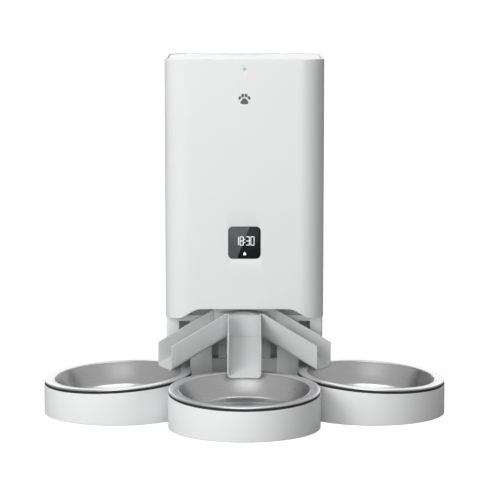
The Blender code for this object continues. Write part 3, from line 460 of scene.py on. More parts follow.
bmesh.ops.create_uvsphere(form, u_segments=64, v_segments=32, radius=1.0)
dish_place = Matrix.Translation((0, lid_high.y - FINGER_DISH_SETBACK, lid_high.z + FINGER_DISH_LIFT))
form.transform(dish_place @ Matrix.Diagonal((*FINGER_DISH_HALVES, 1)))
dish = add_piece("finger_dish", form)
notch = brick(
    "latch_notch",
    (latch_low.x - GAP, lid_low.y - CUTTER_SPARE, latch_low.z - GAP),
    (latch_high.x + GAP, latch_high.y + LATCH_TRAVEL_ROOM, lid_high.z + CUTTER_SPARE),
)
combine(lid, "DIFFERENCE", dish, notch)
soft_edges(lid, LID_EDGE, 3)
settle(lid)


def inset_outline(inset, corner):
    low = (lid_low.x + inset, lid_low.y + inset)
    high = (lid_high.x - inset, lid_high.y - inset)
    return rounded_outline(low, high, [corner] * 4, 10)


skirt_outer = inset_outline(SKIRT_INSET, SKIRT_CORNER)
skirt_inner = inset_outline(SKIRT_INSET + SKIRT_WALL, SKIRT_CORNER - SKIRT_WALL)
form = bmesh.new()
loops = []
for outline, z in (
    (skirt_outer, lid_low.z),
    (skirt_outer, lid_high.z - LID_PLATE),
    (skirt_inner, lid_high.z - LID_PLATE),
    (skirt_inner, lid_low.z),
):
    loops.append([form.verts.new((x, y, z)) for x, y in outline])
for lower, upper in zip(loops, loops[1:] + loops[:1]):
    for i in range(len(lower)):
        j = (i + 1) % len(lower)
        form.faces.new((lower[i], lower[j], upper[j], upper[i]))
lid_skirt = add_piece("lid_skirt", form)
shade(lid_skirt.data)
latch = brick("latch_tab", latch_low, latch_high)
soft_edges(latch, LATCH_EDGE, 2)
settle(latch)
coat(lid, white)
coat(lid_skirt, white)
coat(latch, white)
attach(lid, "lid")
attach(lid_skirt, "lid")
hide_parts("lid")
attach(latch, "lid_latch")
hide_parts("lid_latch")

# ---------------------------------------------------------------------------
# Base: the white lower housing, moulded in one with two legs, two pillars, a
# sill and a column. Its recess is coloured a darker grey as painted shade.
# ---------------------------------------------------------------------------
base_low, base_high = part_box("base_housing")
PILLAR_INNER = 37.8 * MM
PILLAR_OUTER = 63.0 * MM
LEG_INNER = 76.0 * MM
SILL_TOP = 44.3 * MM
RECESS_TOP = 89.0 * MM
RECESS_DEPTH = 26.0 * MM
COLUMN_HALF = 30.0 * MM
COLUMN_SETBACK = 5.5 * MM
SILL_SETBACK = 2.2 * MM
BASE_WALL = 2.6 * MM
REAR_CORNER = CORNER - 0.6 * MM
FRONT_CORNER = 3.0 * MM
BASE_EDGE = 0.7 * MM
SOCKET_REACH = 20.0 * MM
base_corners = [FRONT_CORNER, REAR_CORNER, REAR_CORNER, FRONT_CORNER]
base_outline = rounded_outline((base_low.x, base_low.y), (base_high.x, base_high.y), base_corners)
base = slab("base_moulding", base_outline, base_low.z, base_high.z)
recess_back = base_low.y + RECESS_DEPTH
ahead = base_low.y - CUTTER_SPARE
beneath = base_low.z - CUTTER_SPARE
column_y = base_low.y + COLUMN_SETBACK
sill_y = base_low.y + SILL_SETBACK
cuts = [
    brick(
        "inside",
        (base_low.x + BASE_WALL, recess_back + BASE_WALL, beneath),
        (base_high.x - BASE_WALL, base_high.y - REAR_CORNER, base_high.z - BASE_WALL),
    ),
    brick("column_front", (-PILLAR_INNER, ahead, SILL_TOP), (PILLAR_INNER, column_y, RECESS_TOP)),
    brick("sill_front", (-PILLAR_INNER, ahead, beneath), (PILLAR_INNER, sill_y, RECESS_TOP)),
]
for side in (-1, 1):
    for inner, outer, low in (
        (PILLAR_OUTER, LEG_INNER, base_low.z + BASE_WALL),
        (COLUMN_HALF, PILLAR_INNER, SILL_TOP),
    ):
        xs = sorted((side * inner, side * outer))
        cuts.append(brick("bay", (xs[0], ahead, low), (xs[1], recess_back, RECESS_TOP)))
socket_low, socket_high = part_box("dc_socket")
socket_middle = (socket_low + socket_high) / 2
cuts.append(
    slab(
        "socket_hole",
        round_outline((socket_high.x - socket_low.x) / 2 + GAP),
        -SOCKET_REACH,
        SOCKET_REACH,
        Matrix.Translation((socket_middle.x, base_high.y, socket_middle.z)) @ upright,
    )
)
combine(base, "DIFFERENCE", *cuts)
soft_edges(base, BASE_EDGE, 3)
settle(base)


def weld(piece, reach):
    """Merges points that the cuts left on top of each other, and drops the faces between them."""
    form = bmesh.new()
    form.from_mesh(piece.data)
    bmesh.ops.remove_doubles(form, verts=form.verts, dist=reach)
    bmesh.ops.dissolve_degenerate(form, dist=reach, edges=form.edges)
    form.to_mesh(piece.data)
    form.free()


weld(base, 0.001 * MM)
coat(base, white)
# A darker grey for the recess and the mid frame: painted shade under the shell's overhang and the
# chutes.
shaded = Finish("recess_plastic", (0.50, 0.505, 0.51), 0.5, IOR=1.46)
shaded_spot = shaded.where()
shaded_cloud = shaded.noise(shaded_spot, 20.0, 3.0)
shaded.feed("Base Color", shaded.tint(shaded_cloud, (0.46, 0.465, 0.47), (0.54, 0.545, 0.55)))
shaded.feed("Roughness", 0.42 + 0.16 * shaded.noise(shaded_spot, 2200.0, 2.0))
base.data.materials.append(shaded.material)
HAIR = 0.2 * MM
FRONT_SKIN = 1.0 * MM
# Faces in the bays and on the sill and column fronts take the darker grey as painted shade.
for face in base.data.polygons:
    x, y, z = abs(face.center.x), face.center.y, face.center.z
    in_width = x < PILLAR_INNER - HAIR or PILLAR_OUTER + HAIR < x < LEG_INNER - HAIR
    in_depth = base_low.y + FRONT_SKIN < y < recess_back + HAIR
    if in_width and in_depth and z < RECESS_TOP + HAIR:
        face.material_index = 1
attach(base, "feeder")
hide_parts("base_housing")

# ---------------------------------------------------------------------------
# Chutes: three white plastic U-channels, 2 mm thick, with rounded lips, coloured darker grey as painted
# shade under the shell. They start at the splitter, a wedge whose faces share the kibble between them.
# ---------------------------------------------------------------------------
CHUTE_WIDTH = 38.1 * MM
CHUTE_HEIGHT = 28.5 * MM
CHUTE_WALL = 2.0 * MM
CHUTE_CORNER = 5.0 * MM
CHUTE_EDGE = 0.7 * MM
CHUTE_DROP = 33.3 * MM
CHUTE_STATIONS = 11
FRONT_RUN = 74.4 * MM
SIDE_RUN = 70.0 * MM
SIDE_HEADING = radians(26.0)
MOUTH_TOP = 104.7 * MM
MOUTH_SETBACK = 12.5 * MM
mouth_y = front_y - MOUTH_SETBACK

# A darker grey than the body's white: painted shade that stands in for the shadow under the shell.
chute_shaded = Finish("chute_plastic", (0.60, 0.605, 0.61), 0.42, IOR=1.46)
chute_spot = chute_shaded.where()
chute_grain = chute_shaded.noise(chute_spot, 2400.0, 2.0)
polish = chute_shaded.noise(chute_shaded.stretched(chute_spot, (30.0, 30.0, 12.0)), 1.0, 3.0)
chute_shaded.feed("Base Color", chute_shaded.tint(polish, (0.56, 0.565, 0.57), (0.64, 0.643, 0.646)))
chute_shaded.feed("Roughness", 0.34 + 0.16 * chute_grain)
chute_shaded.bump(chute_grain, 0.00002, 0.3)


def chute_section():
    """The channel's section, as points of (across, up) with its open top at height 0."""
    half = CHUTE_WIDTH / 2
    inner = half - CHUTE_WALL
    small = CHUTE_CORNER - CHUTE_WALL
    middle = CHUTE_CORNER - CHUTE_HEIGHT
    outside = arc((CHUTE_CORNER - half, middle), CHUTE_CORNER, pi, 3 * pi / 2, 8)
    outside += arc((half - CHUTE_CORNER, middle), CHUTE_CORNER, -pi / 2, 0, 8)
    inside = arc((half - CHUTE_CORNER, middle), small, 0, -pi / 2, 8)
    inside += arc((CHUTE_CORNER - half, middle), small, -pi / 2, -pi, 8)
    return [(-half, 0)] + outside + [(half, 0), (inner, 0)] + inside + [(-inner, 0)]


def new_tree(name, *titles):
    """A Geometry Nodes tree with a number input for each title, and a material input."""
    tree = bpy.data.node_groups.new(name, "GeometryNodeTree")
    tree.interface.new_socket("Geometry", in_out="INPUT", socket_type="NodeSocketGeometry")
    for title in titles:
        tree.interface.new_socket(title, in_out="INPUT", socket_type="NodeSocketFloat")
    tree.interface.new_socket("Finish", in_out="INPUT", socket_type="NodeSocketMaterial")
    tree.interface.new_socket("Geometry", in_out="OUTPUT", socket_type="NodeSocketGeometry")
    return Nodes(tree)


def close_tree(nodes, shape):
    real = nodes.node("GeometryNodeRealizeInstances", {}, {"Geometry": shape})
    finish = nodes.node("NodeGroupInput", output="Finish")
    painted = nodes.node("GeometryNodeSetMaterial", {}, {"Geometry": real, "Material": finish})
    nodes.node("NodeGroupOutput", {}, {"Geometry": painted})
    return nodes.tree


def run_tree(piece, tree, **values):
    """Puts a tree on a piece, sets its inputs by identifier and makes the result a plain mesh."""
    step = piece.modifiers.new("nodes", "NODES")
    step.node_group = tree
    for item in tree.interface.items_tree:
        if item.in_out == "INPUT" and item.name.replace(" ", "_") in values:
            step[item.identifier] = values[item.name.replace(" ", "_")]
    return settle(piece)


def channel_tree():
    """Carries a section along its own -Y from Start to Run, sinking evenly by Drop on the way."""
    nodes = new_tree("falling_channel", "Start", "Run", "Drop")
    start = nodes.node("NodeGroupInput", output="Start")
    run = nodes.node("NodeGroupInput", output="Run")
    drop = nodes.node("NodeGroupInput", output="Drop")
    head = nodes.node("ShaderNodeCombineXYZ", {}, {"Y": 0 - start})
    foot = nodes.node("ShaderNodeCombineXYZ", {}, {"Y": 0 - run})
    line = nodes.node("GeometryNodeCurvePrimitiveLine", {}, {"Start": head, "End": foot})
    path = nodes.node("GeometryNodeResampleCurve", {}, {"Curve": line, "Count": CHUTE_STATIONS})
    outline = nodes.node("NodeGroupInput", output="Geometry")
    section = nodes.node("GeometryNodeMeshToCurve", {}, {"Mesh": outline})
    channel = nodes.node(
        "GeometryNodeCurveToMesh", {}, {"Curve": path, "Profile Curve": section, "Fill Caps": True}
    )
    place = nodes.node("GeometryNodeInputPosition")
    along = nodes.node("ShaderNodeSeparateXYZ", {}, {0: place}, "Y")
    share = (along + start) / (run - start)
    sink = nodes.node("ShaderNodeCombineXYZ", {}, {"Z": drop * share})
    return close_tree(
        nodes, nodes.node("GeometryNodeSetPosition", {}, {"Geometry": channel, "Offset": sink})
    )


falling_channel = channel_tree()


def make_chute(side, place, heading, run):
    form = bmesh.new()
    # A profile on a path that runs along -Y comes out upside down, so it starts half turned.
    points = [form.verts.new((-across, -up, 0)) for across, up in chute_section()]
    for first, second in zip(points, points[1:] + points[:1]):
        form.edges.new((first, second))
    chute = add_piece(f"{side}_channel", form)
    run_tree(
        chute, falling_channel, Start=GAP, Run=run, Drop=CHUTE_DROP, Finish=chute_shaded.material
    )
    chute.data.transform(Matrix.Translation((*place, MOUTH_TOP)) @ Matrix.Rotation(heading, 4, "Z"))
    soft_edges(chute, CHUTE_EDGE, 3, 50)
    settle(chute)
    coat(chute, chute_shaded)
    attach(chute, "feeder")
    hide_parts(f"{side}_chute")


side_x = CHUTE_WIDTH / 2 + GAP + sin(SIDE_HEADING) * CHUTE_WIDTH / 2
side_y = mouth_y + cos(SIDE_HEADING) * CHUTE_WIDTH / 2
make_chute("front", (0, mouth_y), 0, FRONT_RUN)
make_chute("right", (side_x, side_y), pi / 2 - SIDE_HEADING, SIDE_RUN)
make_chute("left", (-side_x, side_y), SIDE_HEADING - pi / 2, SIDE_RUN)
# The splitter takes the same darker grey, painted shade.
coat(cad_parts["splitter"], chute_shaded)

# ---------------------------------------------------------------------------
# Bowls: spun stainless dishes with a flat flange and a rolled edge. Each hangs in a white
# round holder, whose rim rises towards the feeder; a black band under the flange is painted shade.
# ---------------------------------------------------------------------------
HOLDER_RADIUS = 83.1 * MM
HOLDER_WALL = 2.8 * MM
HOLDER_LOW = 0.5 * MM
HOLDER_FLOOR = 7.5 * MM
HOLDER_SHEET = 2.0 * MM
RIM_REST = 40.2 * MM
RIM_TILT = radians(3.55)
RIM_STEP = 1.6 * MM
BOWL_EDGE = 82.9 * MM
BEAD = 1.3 * MM
SHEET = 0.9 * MM
FLANGE = 9.6 * MM
DISH_DEPTH = 28.4 * MM
BOWL_LIFT = 0.3 * MM
TURN_STEPS = 144


def turned(name, profile, leans=None):
    """A profile of (radius, height) points turned about an upright axis. A point's lean is how
    far it rises for each metre along X. The UV map holds the turn and the metres along."""
    form = bmesh.new()
    uv = form.loops.layers.uv.new("UVMap")
    lengths = [0.0]
    leans = leans or [0.0] * len(profile)
    for (r0, z0), (r1, z1) in zip(profile, profile[1:]):
        lengths.append(lengths[-1] + hypot(r1 - r0, z1 - z0))
    columns = []
    for step in range(TURN_STEPS):
        turn = 2 * pi * step / TURN_STEPS
        column = []
        for (r, z), lean in zip(profile, leans):
            column.append(form.verts.new((r * cos(turn), r * sin(turn), z + lean * r * cos(turn))))
        columns.append(column)
    for step in range(TURN_STEPS):
        here, there = columns[step], columns[(step + 1) % TURN_STEPS]
        for i in range(len(profile) - 1):
            face = form.faces.new((here[i], here[i + 1], there[i + 1], there[i]))
            corners = ((step, i), (step, i + 1), (step + 1, i + 1), (step + 1, i))
            for loop, (column, row) in zip(face.loops, corners):
                loop[uv].uv = (column / TURN_STEPS, lengths[row])
    bmesh.ops.remove_doubles(form, verts=form.verts, dist=1e-7)
    bmesh.ops.dissolve_degenerate(form, dist=1e-8, edges=form.edges)
    bmesh.ops.recalc_face_normals(form, faces=form.faces)
    piece = add_piece(name, form)
    shade(piece.data, 40)
    return piece


steel = Finish("spun_stainless", (0.63, 0.63, 0.635), 0.26, Metallic=1.0)
lathe = steel.surface_uv()
rings = steel.noise(steel.stretched(lathe, (3.0, 5200.0, 1.0)), 1.0, 4.0)
fine = steel.noise(steel.stretched(lathe, (60.0, 9000.0, 1.0)), 1.0, 2.0)
smear = steel.noise(steel.where(), 30.0, 3.0)
steel.feed("Roughness", 0.20 + 0.12 * rings + 0.06 * smear)
steel.feed("Base Color", steel.tint(rings, (0.58, 0.58, 0.585), (0.68, 0.68, 0.685)))
steel.bump(0.7 * rings + 0.3 * fine, 0.00003, 0.35)

# Black rubber for the feet, grip rings and socket; the same material also paints the shadow line under
# the bowls' flanges.
rubber_and_shade_line = Finish("black_rubber", (0.035, 0.035, 0.037), 0.75)
rubber_spot = rubber_and_shade_line.where()
rubber_grain = rubber_and_shade_line.noise(rubber_spot, 900.0, 3.0)
rubber_and_shade_line.feed("Roughness", 0.65 + 0.25 * rubber_grain)
rubber_cloud = rubber_and_shade_line.noise(rubber_spot, 60.0)
rubber_and_shade_line.feed("Base Color", rubber_and_shade_line.tint(rubber_cloud, (0.028, 0.028, 0.03), (0.05, 0.05, 0.052)))
rubber_and_shade_line.bump(rubber_grain, 0.00005, 0.5)


def paint_shade_line(piece, radius, low, high, lean):
    """Paints the faces beyond a radius whose height over the leaning rim is in a span black, as a
    painted shadow line.
    """
    piece.data.materials.append(rubber_and_shade_line.material)
    for face in piece.data.polygons:
        height = face.center.z - lean * face.center.x
        if hypot(face.center.x, face.center.y) > radius and low < height < high:
            face.material_index = 1


def blend(p, q, r, s, t):
    """A Catmull-Rom curve's value at t, on its way from q to r."""
    square = (2 * p - 5 * q + 4 * r - s) * t**2
    cube = (3 * q - p - 3 * r + s) * t**3
    return 0.5 * (2 * q + (r - p) * t + square + cube)


def blend_curve(points, steps):
    """Smooth points through a few given ones."""
    ends = [points[0]] + points + [points[-1]]
    made = []
    for four in zip(ends, ends[1:], ends[2:], ends[3:]):
        made += [tuple(blend(*values, i / steps) for values in zip(*four)) for i in range(steps)]
    return made + [points[-1]]


def steel_profile():
    opening = BOWL_EDGE - FLANGE
    top = 2 * BEAD
    floor_z = top - DISH_DEPTH
    floor_radius = opening * 0.7
    inside = blend_curve(
        [
            (floor_radius, floor_z),
            (floor_radius + 7 * MM, floor_z + 2 * MM),
            (floor_radius + 11.5 * MM, floor_z + 6.5 * MM),
            (opening - 2.2 * MM, top - 2.8 * MM),
            (opening - 0.9 * MM, top - 0.7 * MM),
            (opening + 1.0 * MM, top),
        ],
        5,
    )
    bead = arc((BOWL_EDGE - BEAD, BEAD), BEAD, pi / 2, -pi, 18)
    outside = []
    for (r0, z0), (r1, z1) in zip(inside, inside[1:]):
        length = hypot(r1 - r0, z1 - z0)
        outside.append((r0 + SHEET * (z1 - z0) / length, z0 - SHEET * (r1 - r0) / length))
    outside.append((inside[-1][0], top - SHEET))
    neck = [(BOWL_EDGE - 2 * BEAD, top - SHEET)]
    return [(0, floor_z)] + inside + bead + neck + list(reversed(outside)) + [(0, floor_z - SHEET)]


def holder_profile():
    """The profile from the middle of its floor over the rim to its underside, and its leans."""
    inner = HOLDER_RADIUS - HOLDER_WALL
    bead_radius = BOWL_EDGE - BEAD
    step_z = RIM_REST - RIM_STEP
    edge = 0.8 * MM
    base = [(0, HOLDER_FLOOR), (inner - 1.5 * MM, HOLDER_FLOOR)]
    base += [(inner - 0.4 * MM, HOLDER_FLOOR + 0.4 * MM), (inner, HOLDER_FLOOR + 1.5 * MM)]
    rim = [(inner, RIM_REST - 0.6 * MM), (inner + 0.2 * MM, RIM_REST - 0.15 * MM)]
    rim += [(inner + 0.5 * MM, RIM_REST), (bead_radius + 0.1 * MM, RIM_REST)]
    rim += [(bead_radius + 0.35 * MM, RIM_REST - 0.3 * MM), (bead_radius + 0.45 * MM, step_z)]
    rim += arc((HOLDER_RADIUS - edge, step_z - edge), edge, pi / 2, 0, 6)
    foot = arc((HOLDER_RADIUS - edge, HOLDER_LOW + edge), edge, 0, -pi / 2, 6)
    underside = HOLDER_FLOOR - HOLDER_SHEET
    foot += [(inner, HOLDER_LOW), (inner, underside), (0, underside)]
    leans = [0.0] * len(base) + [tan(RIM_TILT)] * len(rim) + [0.0] * len(foot)
    return base + rim + foot, leans


ARM_SLOT_HALF = 14.7 * MM
ARM_SLOT_LENGTH = 30.0 * MM
ARM_SLOT_TOP = 3.0 * MM
SHADE_LINE_TOP = 1.05 * MM
SHADE_LINE_SPARE = 0.1 * MM
outward = {
    "front": Vector((0, -1, 0)),
    "right": Vector((cos(SIDE_HEADING), -sin(SIDE_HEADING), 0)),
    "left": Vector((-cos(SIDE_HEADING), -sin(SIDE_HEADING), 0)),
}
for side, out in outward.items():
    low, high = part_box(f"bowl_holder_{side}")
    place = Matrix.Translation(((low.x + high.x) / 2, (low.y + high.y) / 2, 0))
    place @= Matrix.Rotation(atan2(-out.y, -out.x), 4, "Z")
    bowl = turned(f"steel_dish_{side}", steel_profile())
    lifted = Matrix.Translation((0, 0, RIM_REST + BOWL_LIFT))
    coat(bowl, steel)
    # Black band on the bead's underside: painted shadow line in the groove under the flange.
    paint_shade_line(bowl, BOWL_EDGE - BEAD, -SHADE_LINE_SPARE, SHADE_LINE_TOP, 0.0)
    bowl.data.transform(place @ lifted @ Matrix.Rotation(-RIM_TILT, 4, "Y"))
    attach(bowl, f"bowl_{side}")
    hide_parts(f"steel_bowl_{side}")
    holder = turned(f"holder_ring_{side}", *holder_profile())
    slot = brick(
        "arm_slot",
        (HOLDER_RADIUS - ARM_SLOT_LENGTH, -ARM_SLOT_HALF, -CUTTER_SPARE),
        (HOLDER_RADIUS + CUTTER_SPARE, ARM_SLOT_HALF, ARM_SLOT_TOP),
    )
    combine(holder, "DIFFERENCE", slot)
    coat(holder, white)
    # Black band on the holder's step: painted shadow line under the bowl's bead.
    shade_line_low = RIM_REST - RIM_STEP - SHADE_LINE_SPARE / 2
    paint_shade_line(holder, BOWL_EDGE - 2 * BEAD, shade_line_low, RIM_REST + SHADE_LINE_SPARE, tan(RIM_TILT))
    holder.data.transform(place)
    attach(holder, "feeder")
    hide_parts(f"bowl_holder_{side}")
    coat(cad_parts[f"grip_ring_{side}"], rubber_and_shade_line)
for index in range(4):
    coat(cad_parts[f"foot_{index + 1}"], rubber_and_shade_line)
coat(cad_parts["dc_socket"], rubber_and_shade_line)

# ---------------------------------------------------------------------------
# Display: a black acrylic window, flush in the shell, with a painted reflection: a lighter
# band on its left. The white clock and the small lock symbol are lit from behind.
# ---------------------------------------------------------------------------
WINDOW_EDGE = 0.3 * MM
REFLECTION_LEAN = -0.40
REFLECTION_BLUR = 0.4 * MM
reflection_edge = REFLECTION_LEAN * window_middle.z - 1.3 * MM

glass = Finish("black_acrylic", (0.012, 0.012, 0.013), 0.06, IOR=1.30, Specular_IOR_Level=0.25)
pane = glass.where()
haze = glass.noise(pane, 400.0, 2.0)
# The left part, up to a leaning edge, is painted lighter: a painted reflection across the pane.
across = glass.node(
    "ShaderNodeVectorMath", {"operation": "DOT_PRODUCT"}, {0: pane, 1: (1.0, 0.0, REFLECTION_LEAN)}, 1
)
outside_reflection = glass.node(
    "ShaderNodeMapRange",
    {"interpolation_type": "SMOOTHSTEP"},
    {"Value": across, "From Min": reflection_edge - REFLECTION_BLUR, "From Max": reflection_edge + REFLECTION_BLUR},
)
glass.feed("Roughness", 0.16 + 0.08 * haze)
glass.feed("Base Color", glass.tint(outside_reflection, (0.095, 0.098, 0.10), (0.012, 0.012, 0.013)))
window = slab(
    "window_pane",
    window_outline(window_half, WINDOW_CORNER),
    0,
    window_high.y - window_low.y,
    Matrix.Translation((0, window_high.y, window_middle.z)) @ upright,
)
soft_edges(window, WINDOW_EDGE, 2)
settle(window)
coat(window, glass)
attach(window, "feeder")
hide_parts("display_window")

glow = Finish("clock_glow", (0.9, 0.92, 0.95), 0.4, Emission_Strength=0.62)
glow_cloud = glow.noise(glow.where(), 300.0, 1.0)
glow.feed("Emission Color", glow.tint(glow_cloud, (0.85, 0.9, 1.0), (0.95, 0.97, 1.0)))

DIGIT_HEIGHT = 10.2 * MM
DIGIT_WIDTH = 4.3 * MM
STROKE = 0.62 * MM
DIGIT_MIDDLE_Z = 186.3 * MM
DIGIT_STARTS = (-10.9 * MM, -5.3 * MM, 1.6 * MM, 7.0 * MM)
COLON_X = 0.3 * MM
COLON_LIFT = 1.7 * MM
DOT_HALF = 0.45 * MM
PRINT_HALF = 0.03 * MM
LOCK_X = 0.3 * MM
LOCK_Z = 171.2 * MM
LOCK_HALF_WIDTH = 1.5 * MM
LOCK_HALF_HEIGHT = 1.2 * MM
LOCK_CORNER = 0.35 * MM
SHACKLE_OUTER = 1.05 * MM
SHACKLE_INNER = 0.65 * MM
SHACKLE_LIFT = 1.3 * MM
SEGMENTS = {"1": "bc", "8": "abcdefg", "3": "abcdg", "0": "abcdef"}


def segment_places(letter, start):
    """The middle of a segment and whether it stands upright."""
    middle = start + DIGIT_WIDTH / 2
    reach = DIGIT_HEIGHT / 2 - STROKE / 2
    side = DIGIT_WIDTH / 2 - STROKE / 2
    places = {
        "a": (middle, reach, False),
        "g": (middle, 0, False),
        "d": (middle, -reach, False),
        "b": (middle + side, reach / 2, True),
        "c": (middle + side, -reach / 2, True),
        "e": (middle - side, -reach / 2, True),
        "f": (middle - side, reach / 2, True),
    }
    return places[letter]


def strokes_tree():
    """Bars on points: each point's 'upright' value stands its bar up."""
    nodes = new_tree("clock_strokes", "Length", "Upright Length", "Stroke", "Depth")
    length = nodes.node("NodeGroupInput", output="Length")
    upright_length = nodes.node("NodeGroupInput", output="Upright Length")
    stroke = nodes.node("NodeGroupInput", output="Stroke")
    depth = nodes.node("NodeGroupInput", output="Depth")
    flat = nodes.node("ShaderNodeCombineXYZ", {}, {"X": length, "Y": depth, "Z": stroke})
    stood = nodes.node("ShaderNodeCombineXYZ", {}, {"X": stroke, "Y": depth, "Z": upright_length})
    stands = nodes.node(
        "GeometryNodeInputNamedAttribute", {"data_type": "BOOLEAN"}, {"Name": "upright"}
    )
    size = nodes.node(
        "GeometryNodeSwitch", {"input_type": "VECTOR"}, {"Switch": stands, "False": flat, "True": stood}
    )
    bar = nodes.node("GeometryNodeMeshCube", {}, {"Size": (1, 1, 1)})
    points = nodes.node("NodeGroupInput", output="Geometry")
    bars = nodes.node(
        "GeometryNodeInstanceOnPoints", {}, {"Points": points, "Instance": bar, "Scale": size}
    )
    return close_tree(nodes, bars)


form = bmesh.new()
standing = form.verts.layers.bool.new("upright")
for digit, start in zip("1830", DIGIT_STARTS):
    for letter in SEGMENTS[digit]:
        x, z, stands = segment_places(letter, start)
        form.verts.new((x, window_low.y, DIGIT_MIDDLE_Z + z))[standing] = stands
digits = add_piece("clock_digits", form)
run_tree(
    digits,
    strokes_tree(),
    Length=DIGIT_WIDTH - 1.15 * STROKE,
    Upright_Length=DIGIT_HEIGHT / 2 - STROKE * 0.75,
    Stroke=STROKE,
    Depth=2 * PRINT_HALF,
    Finish=glow.material,
)


def printed(name, outline, x, y, z, spin=Matrix()):
    """A thin upright layer with its outline round (x, z), half sunk in the face behind it."""
    place = Matrix.Translation((x, y, z)) @ spin @ upright
    return slab(name, outline, -PRINT_HALF, PRINT_HALF, place)


dot_outline = [(DOT_HALF * x, DOT_HALF * z) for x, z in ((-1, -1), (1, -1), (1, 1), (-1, 1))]
colon_dots = [
    printed("dot", dot_outline, COLON_X, window_low.y, DIGIT_MIDDLE_Z + lift)
    for lift in (-COLON_LIFT, COLON_LIFT)
]
colon = combine(colon_dots[0], "UNION", colon_dots[1])
colon.name = "clock_colon"
lock_low = (-LOCK_HALF_WIDTH, -LOCK_HALF_HEIGHT)
lock_high = (LOCK_HALF_WIDTH, LOCK_HALF_HEIGHT)
lock_outline = rounded_outline(lock_low, lock_high, [LOCK_CORNER] * 4, 4)
lock = printed("lock_body", lock_outline, LOCK_X, window_low.y, LOCK_Z)
shackle_outline = arc((0, 0), SHACKLE_OUTER, 0, pi, 12) + arc((0, 0), SHACKLE_INNER, pi, 0, 12)
shackle = printed("lock_shackle", shackle_outline, LOCK_X, window_low.y, LOCK_Z + SHACKLE_LIFT)
for piece in (digits, colon, lock, shackle):
    coat(piece, glow)
    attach(piece, "feeder")

# ---------------------------------------------------------------------------
# Status lamp and emblem: a teal lens near the top, and a paw pad-printed in
# dark grey ink below it.
# ---------------------------------------------------------------------------
lamp = Finish("teal_lens", (0.08, 0.45, 0.40), 0.25, Emission_Strength=0.6)
lamp_cloud = lamp.noise(lamp.where(), 500.0, 1.0)
lamp.feed("Emission Color", lamp.tint(lamp_cloud, (0.10, 0.50, 0.44), (0.16, 0.58, 0.52)))
coat(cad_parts["led_lens"], lamp)

ink = Finish("grey_ink", (0.10, 0.105, 0.11), 0.5)
ink_cloud = ink.noise(ink.where(), 700.0, 2.0)
ink.feed("Base Color", ink.tint(ink_cloud, (0.085, 0.09, 0.095), (0.13, 0.135, 0.14)))
EMBLEM_Z = 348.0 * MM
PAD_DROP = 2.6 * MM
PAD_HALF_WIDTH = 4.3 * MM
PAD_HALF_HEIGHT = 3.4 * MM
PAD_LOBES = 0.16
# Each toe: its place across and up, half its width and height, and its lean in degrees.
TOES = (
    (-5.2, 1.6, 1.55, 2.1, 24),
    (-1.9, 4.2, 1.6, 2.3, 8),
    (1.9, 4.2, 1.6, 2.3, -8),
    (5.2, 1.6, 1.55, 2.1, -24),
)
for index, (x, z, wide, tall, lean) in enumerate(TOES):
    turns = [2 * pi * i / 28 for i in range(28)]
    outline = [(wide * MM * cos(turn), tall * MM * sin(turn)) for turn in turns]
    spin = Matrix.Rotation(radians(lean), 4, "Y")
    toe = printed(f"paw_toe_{index + 1}", outline, x * MM, front_y, EMBLEM_Z + z * MM, spin)
    coat(toe, ink)
    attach(toe, "feeder")
pad_outline = []
for i in range(48):
    turn = 2 * pi * i / 48
    swell = 1 + PAD_LOBES * cos(3 * (turn - pi / 2))
    pad_outline.append((PAD_HALF_WIDTH * swell * cos(turn), PAD_HALF_HEIGHT * swell * sin(turn)))
pad = printed("paw_pad", pad_outline, 0, front_y, EMBLEM_Z - PAD_DROP)
coat(pad, ink)
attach(pad, "feeder")

# ---------------------------------------------------------------------------
# Inner mouldings: the frame that closes the shell from below, coloured grey as painted shade
# under the arch, the matt off-white plates, cup, duct and rotor, and the smoked tank for the kibble.
# ---------------------------------------------------------------------------
inner_white = Finish("matt_off_white", (0.72, 0.73, 0.74), 0.55)
inner_spot = inner_white.where()
inner_grain = inner_white.noise(inner_spot, 1500.0, 3.0)
inner_cloud = inner_white.noise(inner_spot, 14.0)
inner_white.feed("Base Color", inner_white.tint(inner_cloud, (0.69, 0.70, 0.71), (0.75, 0.76, 0.77)))
inner_white.feed("Roughness", 0.48 + 0.16 * inner_grain)
inner_white.bump(inner_grain, 0.00003, 0.3)
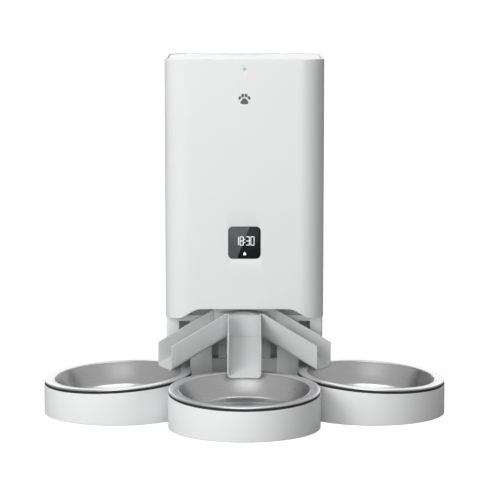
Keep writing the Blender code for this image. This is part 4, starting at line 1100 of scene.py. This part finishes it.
# The mid frame takes the darker recess grey: painted shade under the shell's arch.
coat(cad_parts["mid_frame"], shaded)
for node in (
    "base_plate",
    "bowl_bracket",
    "dispenser_housing",
    "outlet_duct",
    "rotor",
    "desiccant_box",
    "desiccant_cap",
    "battery_box",
    "battery_door",
):
    coat(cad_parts[node], inner_white)

smoked = Finish("smoked_tank", (0.42, 0.44, 0.47), 0.22, IOR=1.49)
tank_spot = smoked.where()
tank_cloud = smoked.noise(tank_spot, 10.0)
smoked.feed("Base Color", smoked.tint(tank_cloud, (0.38, 0.40, 0.43), (0.46, 0.48, 0.51)))
smoked.feed("Roughness", 0.16 + 0.14 * smoked.noise(tank_spot, 300.0))
coat(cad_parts["hopper"], smoked)

silicone = Finish("grey_silicone", (0.62, 0.64, 0.66), 0.6)
silicone.feed("Roughness", 0.5 + 0.2 * silicone.noise(silicone.where(), 700.0))
coat(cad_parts["lid_seal"], silicone)

# ---------------------------------------------------------------------------
# Electrics and screws: green boards, the plated gear motor and screws, and
# the three D cells of the backup supply.
# ---------------------------------------------------------------------------
board = Finish("green_board", (0.015, 0.12, 0.05), 0.4)
board_spot = board.where()
tracks = board.node(
    "ShaderNodeTexBrick", {}, {"Vector": board_spot, "Scale": 180.0, "Mortar Size": 0.03}, "Fac"
)
board.feed("Base Color", board.tint(tracks, (0.012, 0.11, 0.045), (0.03, 0.2, 0.09)))
board.feed("Roughness", 0.32 + 0.15 * board.noise(board_spot, 200.0))
for node in ("display_board", "main_board"):
    coat(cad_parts[node], board)

plated = Finish("zinc_plate", (0.62, 0.62, 0.63), 0.35, Metallic=1.0)
plated_spot = plated.where()
drawn = plated.noise(plated.stretched(plated_spot, (60.0, 60.0, 1400.0)), 1.0, 3.0)
plated.feed("Roughness", 0.26 + 0.2 * drawn)
plated.bump(drawn, 0.00002, 0.3)
for node in ("gear_motor", "base_screw_1", "base_screw_2", "base_screw_3", "base_screw_4"):
    coat(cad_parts[node], plated)

sleeve = Finish("cell_sleeve", (0.12, 0.3, 0.55), 0.35)
sleeve_cloud = sleeve.noise(sleeve.where(), 40.0)
sleeve.feed("Base Color", sleeve.tint(sleeve_cloud, (0.10, 0.27, 0.50), (0.14, 0.33, 0.60)))
for index in range(3):
    coat(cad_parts[f"battery_{index + 1}"], sleeve)
